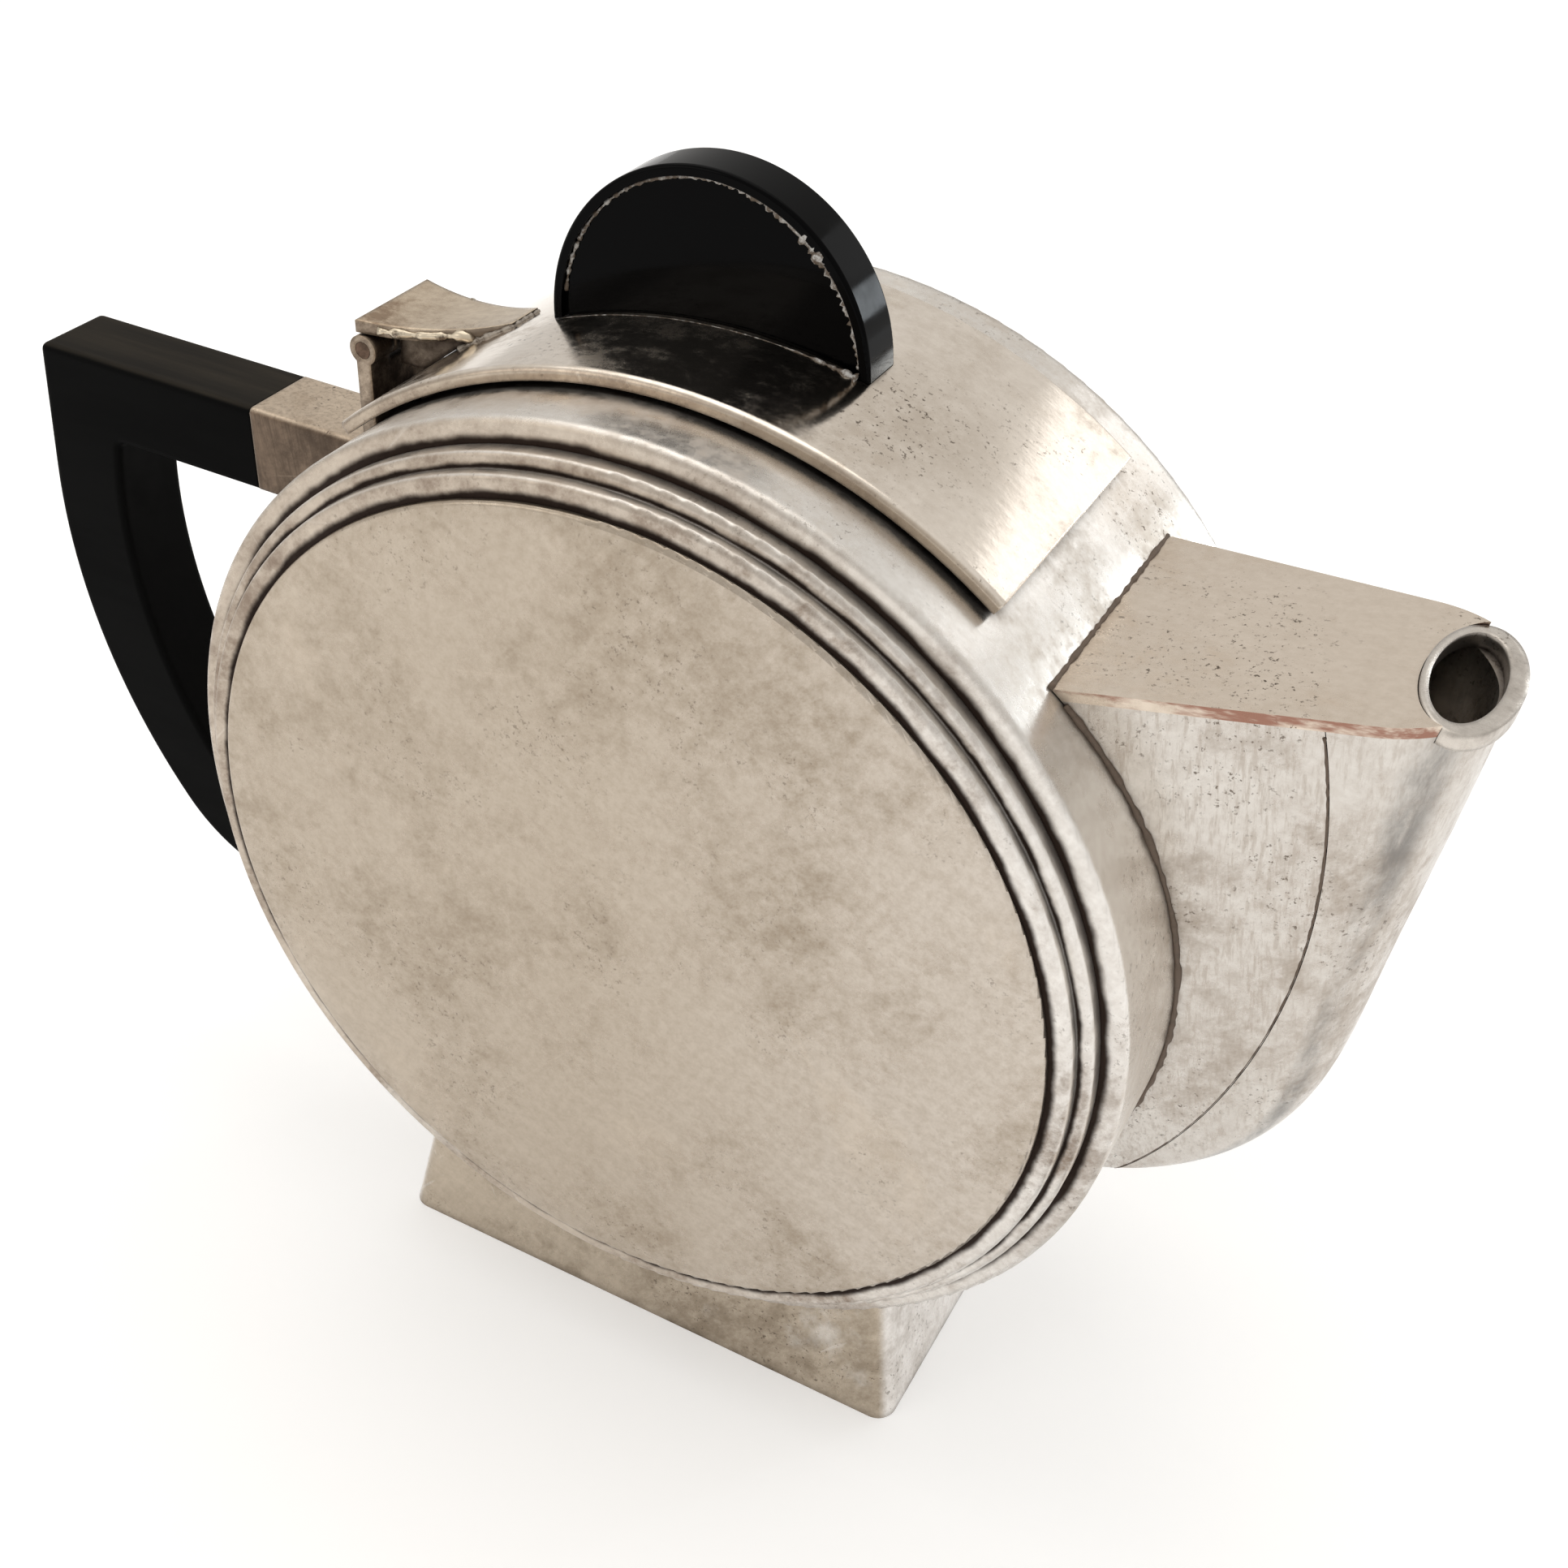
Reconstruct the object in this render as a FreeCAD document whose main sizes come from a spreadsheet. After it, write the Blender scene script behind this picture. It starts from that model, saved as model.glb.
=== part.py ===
import FreeCAD, Part
import math
import os
from types import SimpleNamespace

import Sketcher

Vector = FreeCAD.Vector
Rotation = FreeCAD.Rotation

# A drum teapot of plated sheet with a hinged lid, a wedge spout and an ebony handle.
# The frame: origin at the centre of the foot's underside, +X to the spout, +Z up,
# and the drum's axis along Y. Heights called "above axis" are measured from that axis.
# Driving dimensions, millimetres and degrees.
SIZES = {
    # drum
    "band_radius": 67.0,
    "foot_drop": 15.0,
    "band_half_width": 28.7,
    "sheet_wall": 1.5,
    "band_edge_round": 0.6,
    "flange_depth": 9.0,
    "solder_gap": 0.1,
    # stepped rim of each face, from the band inwards
    "outer_step_inset": 3.1,
    "outer_step_depth": 2.4,
    "inner_step_inset": 1.9,
    "inner_step_depth": 1.9,
    "moulding_width": 7.9,
    "face_inset": 2.8,
    "face_thickness": 1.2,
    "face_roll_width": 5.0,
    "face_roll_drop": 0.35,
    "step_round": 0.6,
    # mouth under the lid
    "mouth_handle_reach": 37.0,
    "mouth_spout_reach": 36.0,
    "mouth_half_width": 16.5,
    # lid
    "lid_gap": 0.8,
    "lid_thickness": 1.7,
    "lid_half_width": 20.0,
    "lid_handle_angle": 41.0,
    "lid_spout_angle": 37.3,
    "lid_edge_round": 0.8,
    "bezel_clearance": 0.8,
    "bezel_wall": 1.2,
    "bezel_depth": 5.8,
    # hinge
    "hinge_angle": 42.7,
    "hinge_rise": 8.7,
    "hinge_half_width": 7.6,
    "knuckle_half_width": 3.4,
    "knuckle_radius": 2.0,
    "knuckle_clearance": 0.35,
    "pin_radius": 1.1,
    "pin_clearance": 0.05,
    "post_thickness": 2.2,
    "leaf_thickness": 1.6,
    "leaf_overhang": 0.8,
    "leaf_sag_radius": 48.0,
    "leaf_tip_angle": 27.0,
    "leaf_tip_rise": 0.5,
    "leaf_tip_half_width": 2.8,
    "gusset_clearance": 0.7,
    "gusset_drop": 5.0,
    # knob
    "knob_radius": 21.2,
    "knob_half_thickness": 3.4,
    "knob_offset": 4.0,
    "knob_sink": 2.9,
    "knob_rim": 1.3,
    "knob_recess": 0.8,
    "knob_edge_round": 0.5,
    "stud_spacing": 14.0,
    "stud_radius": 1.25,
    "stud_clearance": 0.05,
    "stud_embed": 8.0,
    "stud_tail": 0.7,
    "washer_radius": 3.0,
    "washer_depth": 2.2,
    "nut_flats": 5.0,
    "nut_height": 2.2,
    # foot
    "foot_half_length": 42.3,
    "foot_half_width": 25.4,
    "foot_taper_angle": 9.6,
    "foot_wall": 2.0,
    "foot_corner_round": 3.0,
    "foot_plate_thickness": 1.5,
    "foot_plate_clearance": 0.1,
    # handle and its sockets
    "bar_half_width": 6.2,
    "bar_height": 12.6,
    "upper_bar_drop": 26.0,
    "lower_bar_rise": 33.6,
    "upper_socket_length": 15.7,
    "lower_socket_length": 12.0,
    "socket_wall": 1.2,
    "socket_edge_round": 0.8,
    "tenon_length": 8.5,
    "tenon_clearance": 0.1,
    "grip_centre_offset": 46.2,
    "grip_centre_above_axis": 14.0,
    "grip_inner_radius": 73.4,
    "grip_thickness": 12.7,
    "grip_shoulder_step": 2.443,
    "grip_outer_blend": 25.0,
    "grip_inner_blend": 10.0,
    "handle_corner_round": 1.2,
    "handle_edge_round": 1.0,
    "handle_pin_radius": 1.0,
    "handle_pin_length": 8.0,
    "handle_pin_clearance": 0.03,
    # spout
    "spout_reach": 26.3,
    "spout_rake_angle": 7.0,
    "spout_tip_above_axis": 51.5,
    "spout_keel_radius": 43.0,
    "spout_keel_start": -4.4,
    "spout_keel_end_angle": 84.0,
    "spout_tip_half_width": 14.2,
    "spout_keel_half_width": 2.6,
    "spout_side_angle": 9.6,
    "spout_growth_power": 0.8,
    "spout_wall": 1.4,
    "spout_root_above_axis": 46.5,
    "spout_plate_angle": 7.4,
    "spout_plate_thickness": 1.5,
    "seam_radius": 105.4,
    "seam_reach": 13.3,
    "seam_above_axis": 21.6,
    "lip_inset": 4.8,
    "lip_half_length": 5.4,
    "lip_half_breadth": 11.6,
    "lip_depth": 2.0,
    "lip_drop": 0.4,
    "lip_angle": -5.8,
    "mouth_setback": 0.6,
    "mouth_half_length": 3.9,
    "mouth_half_breadth": 9.6,
    # window through the band behind the spout and its pierced plate
    "window_bottom": 6.0,
    "window_top": 34.0,
    "window_half_width": 9.0,
    "strainer_margin": 2.5,
    "strainer_thickness": 1.0,
    "strainer_hole_radius": 1.5,
    "strainer_pitch": 5.0,
}

doc = FreeCAD.newDocument("Teapot")
sheet = doc.addObject("Spreadsheet::Sheet", "Sizes")
for row, (name, value) in enumerate(SIZES.items(), 1):
    sheet.set("A%d" % row, name)
    sheet.set("B%d" % row, str(value))
    sheet.setAlias("B%d" % row, name)
doc.recompute()


class Size:
    """A number from the sheet, or worked out from it, with the expression that says how."""

    def __init__(self, value, text):
        self.value = value
        self.text = text

    def __add__(self, other):
        other = as_size(other)
        return Size(self.value + other.value, "(%s + %s)" % (self.text, other.text))

    def __sub__(self, other):
        other = as_size(other)
        return Size(self.value - other.value, "(%s - %s)" % (self.text, other.text))

    def __mul__(self, other):
        other = as_size(other)
        return Size(self.value * other.value, "(%s * %s)" % (self.text, other.text))

    def __truediv__(self, other):
        other = as_size(other)
        return Size(self.value / other.value, "(%s / %s)" % (self.text, other.text))

    def __neg__(self):
        return self * -1

    def __radd__(self, other):
        return as_size(other) + self

    def __rsub__(self, other):
        return as_size(other) - self

    def __rmul__(self, other):
        return as_size(other) * self


def as_size(number):
    if isinstance(number, Size):
        return number
    return Size(float(number), "(%r)" % float(number))


def root(size):
    return Size(math.sqrt(size.value), "sqrt(%s)" % size.text)


def sine(angle):
    return Size(math.sin(math.radians(angle.value)), "sin(%s)" % angle.text)


def cosine(angle):
    return Size(math.cos(math.radians(angle.value)), "cos(%s)" % angle.text)


def leg(hypotenuse, other):
    """The second short side of a right triangle."""
    return root(hypotenuse * hypotenuse - other * other)


size = SimpleNamespace(**{name: Size(float(sheet.get(name)), "Sizes." + name) for name in SIZES})


def bind(item, path, value):
    item.setExpression(path, as_size(value).text)


axis_height = size.band_radius + size.foot_drop


# Sketches and features

def new_body(name):
    body = doc.addObject("PartDesign::Body", name)
    body.Label = name
    bind(body, "Placement.Base.z", axis_height)
    return body


def new_sketch(body, plane, offset=None):
    origin = [item for item in body.Origin.OriginFeatures if item.Role == plane][0]
    sketch = body.newObject("Sketcher::SketchObject", body.Name + "_sketch")
    sketch.AttachmentSupport = [(origin, "")]
    sketch.MapMode = "FlatFace"
    if offset is not None:
        bind(sketch, "AttachmentOffset.Base.z", offset)
    return sketch


def pin_point(sketch, geometry, end, point):
    """Ties one point of the sketch to the origin by its two bound distances."""
    for kind, value in zip(("DistanceX", "DistanceY"), point):
        constraint = Sketcher.Constraint(kind, -1, 1, geometry, end, value.value)
        bind(sketch, "Constraints[%d]" % sketch.addConstraint(constraint), value)


def arc_between(start, end, radius):
    """An arc of less than half a turn and which of its ends is the start.

    A positive radius turns left from start to end, a negative one turns right.
    """
    first = Vector(start[0].value, start[1].value, 0)
    last = Vector(end[0].value, end[1].value, 0)
    if radius.value < 0:
        first, last = last, first
    chord = last - first
    across = Vector(-chord.y, chord.x, 0).normalize()
    rise = math.sqrt(radius.value ** 2 - chord.Length ** 2 / 4)
    centre = (first + last) * 0.5 + across * rise
    ring = Part.Circle(centre, Vector(0, 0, 1), abs(radius.value))
    angles = [math.atan2(point.y - centre.y, point.x - centre.x) for point in (first, last)]
    if angles[1] < angles[0]:
        angles[1] += 2 * math.pi
    return Part.ArcOfCircle(ring, *angles), (1, 2) if radius.value > 0 else (2, 1)


def outline(sketch, points, arcs=None):
    """A closed outline. arcs maps an edge's number to its signed radius; other edges are straight."""
    arcs = arcs or {}
    points = [(as_size(x), as_size(y)) for x, y in points]
    count = len(points)
    ends = []
    for number in range(count):
        start = points[number]
        end = points[(number + 1) % count]
        if number in arcs:
            curve, order = arc_between(start, end, arcs[number])
        else:
            corners = [Vector(point[0].value, point[1].value, 0) for point in (start, end)]
            curve, order = Part.LineSegment(*corners), (1, 2)
        sketch.addGeometry(curve, False)
        ends.append(order)
    for number in range(count):
        following = (number + 1) % count
        joint = Sketcher.Constraint("Coincident", number, ends[number][1], following, ends[following][0])
        sketch.addConstraint(joint)
        pin_point(sketch, number, ends[number][0], points[number])
    for number, radius in arcs.items():
        width = radius if radius.value > 0 else -radius
        constraint = Sketcher.Constraint("Radius", number, width.value)
        bind(sketch, "Constraints[%d]" % sketch.addConstraint(constraint), width)
    return sketch


def rectangle(sketch, low, high):
    return outline(sketch, [low, (high[0], low[1]), high, (low[0], high[1])])


def circle(sketch, centre, radius):
    centre = [as_size(value) for value in centre]
    middle = Vector(centre[0].value, centre[1].value, 0)
    number = sketch.addGeometry(Part.Circle(middle, Vector(0, 0, 1), radius.value), False)
    pin_point(sketch, number, 3, centre)
    constraint = Sketcher.Constraint("Radius", number, radius.value)
    bind(sketch, "Constraints[%d]" % sketch.addConstraint(constraint), radius)
    return sketch


def pad(body, sketch, length):
    feature = body.newObject("PartDesign::Pad", body.Name + "_pad")
    feature.Profile = sketch
    feature.Midplane = True
    bind(feature, "Length", length)
    return feature


def pocket(body, sketch, length, midplane=True, towards_normal=False):
    feature = body.newObject("PartDesign::Pocket", body.Name + "_pocket")
    feature.Profile = sketch
    feature.Midplane = midplane
    feature.Reversed = towards_normal
    bind(feature, "Length", length)
    return feature


def revolve(body, sketch, angle=None):
    feature = body.newObject("PartDesign::Revolution", body.Name + "_turn")
    feature.Profile = sketch
    feature.ReferenceAxis = (sketch, ["V_Axis"])
    if angle is not None:
        feature.Midplane = True
        bind(feature, "Angle", angle)
    return feature


def fillet(body, feature, radius, wanted):
    """Rounds the edges of the feature for which wanted(edge) is true."""
    doc.recompute()
    names = ["Edge%d" % (i + 1) for i, edge in enumerate(feature.Shape.Edges) if wanted(edge)]
    rounded = body.newObject("PartDesign::Fillet", body.Name + "_round")
    rounded.Base = (feature, names)
    bind(rounded, "Radius", radius)
    return rounded


# Primitives in the drum's frame, all bound to the sheet

def set_place(item, x, y, z, rotation=None):
    item.Placement = FreeCAD.Placement(Vector(0, 0, 0), rotation or Rotation())
    bind(item, "Placement.Base.x", x)
    bind(item, "Placement.Base.y", y)
    bind(item, "Placement.Base.z", axis_height + z)


def cross_cylinder(name, radius, low, high, x=0, z=0):
    """A cylinder along Y from low to high."""
    item = doc.addObject("Part::Cylinder", name)
    bind(item, "Radius", radius)
    bind(item, "Height", high - low)
    set_place(item, x, low, z, Rotation(Vector(1, 0, 0), -90))
    return item


def upright_cylinder(name, radius, x, low, high):
    item = doc.addObject("Part::Cylinder", name)
    bind(item, "Radius", radius)
    bind(item, "Height", high - low)
    set_place(item, x, 0, low)
    return item


def block(name, low, high):
    item = doc.addObject("Part::Box", name)
    low = [as_size(value) for value in low]
    high = [as_size(value) for value in high]
    for side, start, end in zip(("Length", "Width", "Height"), low, high):
        bind(item, side, end - start)
    set_place(item, *low)
    return item


def boolean(kind, name, base, tool):
    item = doc.addObject("Part::" + kind, name)
    item.Base = base
    item.Tool = tool
    item.Label = name
    return item


def fuse(name, pieces):
    item = doc.addObject("Part::MultiFuse", name)
    item.Shapes = pieces
    item.Label = name
    return item


def together(name, pieces):
    """Separate solids that share one node."""
    item = doc.addObject("Part::Compound", name)
    item.Links = pieces
    item.Label = name
    return item


nodes = []

# Radii and places that several pieces share
seat_radius = size.band_radius + size.solder_gap
lid_inner_radius = size.band_radius + size.lid_gap
lid_outer_radius = lid_inner_radius + size.lid_thickness
pin_reach = size.band_radius + size.hinge_rise
pin_x = -(pin_reach * sine(size.hinge_angle))
pin_z = pin_reach * cosine(size.hinge_angle)
pin_bore = size.pin_radius + size.pin_clearance
drum_width = size.band_half_width * 2


# Drum

def make_band():
    body = new_body("body_band")
    width = size.band_half_width
    inner = size.band_radius - size.sheet_wall
    flange = size.band_radius - size.flange_depth
    shoulder = width - size.band_edge_round
    crown = size.band_radius - size.band_edge_round
    inside = width - size.sheet_wall
    points = [
        (size.band_radius, -shoulder),
        (size.band_radius, shoulder),
        (crown, width),
        (flange, width),
        (flange, inside),
        (inner, inside),
        (inner, -inside),
        (flange, -inside),
        (flange, -width),
        (crown, -width),
    ]
    edge = size.band_edge_round
    revolve(body, outline(new_sketch(body, "XY_Plane"), points, {1: edge, 9: edge}))
    mouth = rectangle(new_sketch(body, "XY_Plane"), (-size.mouth_handle_reach, -size.mouth_half_width),
                      (size.mouth_spout_reach, size.mouth_half_width))
    pocket(body, mouth, size.band_radius * 2, midplane=False, towards_normal=True)
    window = rectangle(new_sketch(body, "YZ_Plane"), (-size.window_half_width, size.window_bottom),
                       (size.window_half_width, size.window_top))
    pocket(body, window, size.band_radius * 2, midplane=False, towards_normal=True)
    nodes.append(body)


def make_rim(side, sign):
    """The stepped ring and the disc, rolled off at its edge, that close one end of the drum."""
    outer = size.band_radius - size.outer_step_inset
    middle = outer - size.inner_step_inset
    disc = middle - size.face_inset
    start = size.band_half_width
    first = start + size.outer_step_depth
    second = first + size.inner_step_depth
    front = second + size.face_thickness
    edge = size.step_round
    bore = outer - size.moulding_width

    ring = new_body(side + "_moulding")
    points = [
        (bore, start * sign),
        (outer, start * sign),
        (outer, (first - edge) * sign),
        (outer - edge, first * sign),
        (middle, first * sign),
        (middle, (second - edge) * sign),
        (middle - edge, second * sign),
        (bore, second * sign),
    ]
    turn = edge * sign
    revolve(ring, outline(new_sketch(ring, "XY_Plane"), points, {2: turn, 5: turn}))
    nodes.append(ring)

    face = new_body(side + "_face")
    roll = size.face_roll_width
    drop = size.face_roll_drop
    roll_radius = (roll * roll + drop * drop) / (drop * 2)
    points = [
        (0, second * sign),
        (disc, second * sign),
        (disc, (front - drop - edge) * sign),
        (disc - edge, (front - drop) * sign),
        (disc - edge - roll, front * sign),
        (0, front * sign),
    ]
    revolve(face, outline(new_sketch(face, "XY_Plane"), points, {2: turn, 3: roll_radius * sign}))
    nodes.append(face)


# Foot

def make_foot():
    body = doc.addObject("PartDesign::Body", "foot")
    body.Label = "foot"
    reach = axis_height - size.band_radius * 0.5
    for inset, kind in ((0, "PartDesign::Pad"), (size.foot_wall, "PartDesign::Pocket")):
        length = size.foot_half_length - inset
        width = size.foot_half_width - inset
        plan = rectangle(new_sketch(body, "XY_Plane"), (-length, -width), (length, width))
        feature = body.newObject(kind, "foot_" + kind[-3:].lower())
        feature.Profile = plan
        feature.Reversed = kind.endswith("Pocket")
        bind(feature, "Length", reach)
        bind(feature, "TaperAngle", -size.foot_taper_angle)
        if kind.endswith("Pad"):
            fillet(body, feature, size.foot_corner_round, is_corner_edge)
    saddle = circle(new_sketch(body, "XZ_Plane"), (0, axis_height), seat_radius)
    pocket(body, saddle, size.foot_half_width * 4)
    nodes.append(body)


def is_corner_edge(edge):
    """Edges that run up the foot's corners."""
    first, last = (vertex.Point for vertex in edge.Vertexes)
    return abs(first.z - last.z) > 1.0


def make_foot_plate():
    lean = size.foot_plate_thickness * sine(size.foot_taper_angle) / cosine(size.foot_taper_angle)
    inset = size.foot_wall + size.foot_plate_clearance + lean
    length = size.foot_half_length - inset
    width = size.foot_half_width - inset
    floor = -axis_height
    top = floor + size.foot_plate_thickness
    plate = block("foot_plate", (-length, -width, floor), (length, width, top))
    plate.Label = "foot_plate"
    nodes.append(plate)


# Handle and sockets

def band_surface_x(height):
    return -leg(size.band_radius, height)


upper_bar_top = size.band_radius - size.upper_bar_drop
lower_bar_top = size.lower_bar_rise - size.band_radius
upper_bar_bottom = upper_bar_top - size.bar_height
lower_bar_bottom = lower_bar_top - size.bar_height
upper_middle = upper_bar_top - size.bar_height * 0.5
lower_middle = lower_bar_top - size.bar_height * 0.5
upper_joint_x = band_surface_x(upper_middle) - size.upper_socket_length
lower_joint_x = band_surface_x(lower_middle) - size.lower_socket_length
tenon_half_width = size.bar_half_width - size.socket_wall - size.tenon_clearance
pin_hole_radius = size.handle_pin_radius + size.handle_pin_clearance
grip_outer_radius = size.grip_inner_radius + size.grip_thickness
grip_centre_x = upper_joint_x + size.grip_centre_offset

# The shoulder stands a step outside the grip's outer arc, level with the upper bar's top.
shoulder_above_centre = upper_bar_top - size.grip_centre_above_axis
grip_shoulder_x = grip_centre_x - leg(grip_outer_radius, shoulder_above_centre) - size.grip_shoulder_step


def make_socket(name, joint_x, bottom, top):
    """A square sleeve soldered to the band, with the pin's hole in its underside."""
    body = new_body(name)
    section = rectangle(new_sketch(body, "XZ_Plane"), (joint_x, bottom), (0, top))
    sleeve = pad(body, section, size.bar_half_width * 2)
    fillet(body, sleeve, size.socket_edge_round, is_long_edge)
    wall = size.socket_wall
    bore = rectangle(new_sketch(body, "XZ_Plane"), (joint_x - wall, bottom + wall), (wall, top - wall))
    pocket(body, bore, (size.bar_half_width - wall) * 2)
    pocket(body, circle(new_sketch(body, "XZ_Plane"), (0, 0), seat_radius), size.bar_half_width * 4)
    drill_pin_hole(body, joint_x, bottom)
    nodes.append(body)


def drill_pin_hole(body, joint_x, bottom):
    """A hole up from the bar's underside through the middle of the tenon."""
    sketch = circle(new_sketch(body, "XY_Plane", bottom), (joint_x + size.tenon_length * 0.5, 0),
                    pin_hole_radius)
    pocket(body, sketch, size.handle_pin_length, midplane=False, towards_normal=True)


def is_long_edge(edge):
    first, last = (vertex.Point for vertex in edge.Vertexes)
    return abs(first.x - last.x) > size.bar_height.value


def make_handle():
    body = new_body("handle")
    centre_x = grip_centre_x
    centre_z = size.grip_centre_above_axis
    inner = size.grip_inner_radius
    outer = grip_outer_radius
    outer_blend = size.grip_outer_blend
    inner_blend = size.grip_inner_blend

    # Each blend is tangent to the grip's arc and to the lower bar.
    outer_z = lower_bar_bottom + outer_blend - centre_z
    outer_x = -leg(outer - outer_blend, outer_z)
    outer_scale = outer / (outer - outer_blend)
    inner_z = lower_bar_top + inner_blend - centre_z
    inner_x = -leg(inner - inner_blend, inner_z)
    inner_scale = inner / (inner - inner_blend)

    # The back starts as a straight line from the shoulder, tangent to the grip's outer arc.
    shoulder_x = grip_shoulder_x - centre_x
    shoulder_z = shoulder_above_centre
    square = shoulder_x * shoulder_x + shoulder_z * shoulder_z
    along = outer * outer / square
    across = outer * root(square - outer * outer) / square
    back_x = shoulder_x * along - shoulder_z * across
    back_z = shoulder_z * along + shoulder_x * across

    points = [
        (upper_joint_x, upper_bar_top),
        (grip_shoulder_x, upper_bar_top),
        (centre_x + back_x, centre_z + back_z),
        (centre_x + outer_x * outer_scale, centre_z + outer_z * outer_scale),
        (centre_x + outer_x, lower_bar_bottom),
        (lower_joint_x, lower_bar_bottom),
        (lower_joint_x, lower_bar_top),
        (centre_x + inner_x, lower_bar_top),
        (centre_x + inner_x * inner_scale, centre_z + inner_z * inner_scale),
        (centre_x - leg(inner, upper_bar_bottom - centre_z), upper_bar_bottom),
        (upper_joint_x, upper_bar_bottom),
    ]
    arcs = {2: outer, 3: outer_blend, 7: -inner_blend, 8: -inner}
    grip = pad(body, outline(new_sketch(body, "XZ_Plane"), points, arcs), size.bar_half_width * 2)
    eased = fillet(body, grip, size.handle_corner_round, is_upper_corner)
    fillet(body, eased, size.handle_edge_round, is_outline_edge)
    inset = size.socket_wall + size.tenon_clearance
    for joint_x, bottom, top in sockets:
        tenon = rectangle(new_sketch(body, "XZ_Plane"), (joint_x - inset, bottom + inset),
                          (joint_x + size.tenon_length, top - inset))
        pad(body, tenon, tenon_half_width * 2)
        drill_pin_hole(body, joint_x, bottom)
    nodes.append(body)


def is_upper_corner(edge):
    """The edges across the handle where the upper bar turns down into the grip."""
    first, last = (vertex.Point for vertex in edge.Vertexes)
    in_grip = first.x < (upper_joint_x.value + grip_shoulder_x.value) * 0.5
    at_bar = first.z > upper_bar_bottom.value - 1e-3
    return abs(first.y - last.y) > 1.0 and in_grip and at_bar


def is_outline_edge(edge):
    """Edges of the handle's two flat sides, apart from those at the sockets."""
    first, last = (vertex.Point for vertex in edge.Vertexes)
    at_joint = abs(first.x - last.x) < 1e-3 and first.x > upper_joint_x.value - 1.0
    return abs(first.y - last.y) < 1e-3 and not at_joint


sockets = [
    (upper_joint_x, upper_bar_bottom, upper_bar_top),
    (lower_joint_x, lower_bar_bottom, lower_bar_top),
]


def make_handle_pins():
    """Pins driven up from below, where they don't show."""
    pins = [
        upright_cylinder("handle_pin", size.handle_pin_radius, joint_x + size.tenon_length * 0.5,
                         bottom, bottom + size.handle_pin_length - size.handle_pin_clearance)
        for joint_x, bottom, top in sockets
    ]
    nodes.append(together("handle_pins", pins))


# Hinge

def make_hinge_bracket():
    half = size.post_thickness * 0.5
    post = block("post", (pin_x - half, -size.hinge_half_width, 0),
                 (pin_x + half, size.hinge_half_width, pin_z))
    barrel = cross_cylinder("post_barrel", size.knuckle_radius, -size.hinge_half_width,
                            size.hinge_half_width, pin_x, pin_z)
    blank = fuse("bracket_blank", [post, barrel])
    seated = boolean("Cut", "bracket_seated", blank,
                     cross_cylinder("bracket_seat", seat_radius, -drum_width, drum_width))
    slot = size.knuckle_half_width + size.knuckle_clearance
    room = size.knuckle_radius + size.knuckle_clearance
    slotted = boolean("Cut", "bracket_slotted", seated,
                      block("bracket_slot", (pin_x - room * 2, -slot, pin_z - room),
                            (pin_x + room * 2, slot, pin_z + room)))
    bracket = boolean("Cut", "hinge_bracket", slotted,
                      cross_cylinder("bracket_bore", pin_bore, -drum_width, drum_width, pin_x, pin_z))
    nodes.append(bracket)


def make_hinge_pin():
    pin = cross_cylinder("hinge_pin", size.pin_radius, -size.hinge_half_width, size.hinge_half_width,
                         pin_x, pin_z)
    pin.Label = "hinge_pin"
    nodes.append(pin)


def make_hinge_leaf():
    """A tapered strip that sags from the barrel to the lid's back, with its knuckle and a gusset below."""
    thickness = size.leaf_thickness
    sag = size.leaf_sag_radius
    tip_x = -(lid_outer_radius * sine(size.leaf_tip_angle))
    tip_z = lid_outer_radius * cosine(size.leaf_tip_angle) + size.leaf_tip_rise
    heel_x = pin_x - size.leaf_overhang
    heel_z = pin_z + size.knuckle_radius + size.knuckle_clearance
    strip = new_body("leaf_strip")
    points = [
        (heel_x, heel_z + thickness),
        (heel_x, heel_z),
        (tip_x, tip_z - thickness),
        (tip_x, tip_z),
    ]
    section = outline(new_sketch(strip, "XZ_Plane"), points, {1: sag + thickness, 3: -sag})
    pad(strip, section, size.hinge_half_width * 2)
    plan = new_body("leaf_plan")
    points = [
        (heel_x, -size.hinge_half_width),
        (tip_x, -size.leaf_tip_half_width),
        (tip_x, size.leaf_tip_half_width),
        (heel_x, size.hinge_half_width),
    ]
    pad(plan, outline(new_sketch(plan, "XY_Plane"), points), lid_outer_radius * 4)
    leaf = boolean("Common", "leaf_tapered", strip, plan)
    barrel = cross_cylinder("leaf_barrel", size.knuckle_radius, -size.knuckle_half_width,
                            size.knuckle_half_width, pin_x, pin_z)
    web = block("leaf_web", (heel_x, -size.knuckle_half_width, pin_z),
                (pin_x + size.knuckle_radius, size.knuckle_half_width, heel_z + thickness * 0.5))
    gusset = new_body("leaf_gusset")
    gusset_x = pin_x + size.knuckle_radius + size.gusset_clearance
    points = [
        (gusset_x, heel_z),
        (gusset_x, heel_z - size.gusset_drop),
        (tip_x, heel_z - size.gusset_drop),
        (tip_x, tip_z - thickness),
    ]
    pad(gusset, outline(new_sketch(gusset, "XZ_Plane"), points), size.knuckle_half_width * 2)
    blank = fuse("leaf_blank", [leaf, barrel, web, gusset])
    seat = cross_cylinder("leaf_seat", lid_outer_radius + size.solder_gap, -drum_width, drum_width)
    seated = boolean("Cut", "leaf_seated", blank, seat)
    bore = cross_cylinder("leaf_bore", pin_bore, -drum_width, drum_width, pin_x, pin_z)
    nodes.append(boolean("Cut", "hinge_leaf", seated, bore))


# Lid, its bezel and its knob

stud_places = [-size.knob_offset - size.stud_spacing * 0.5, -size.knob_offset + size.stud_spacing * 0.5]
stud_hole_radius = size.stud_radius + size.stud_clearance


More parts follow.
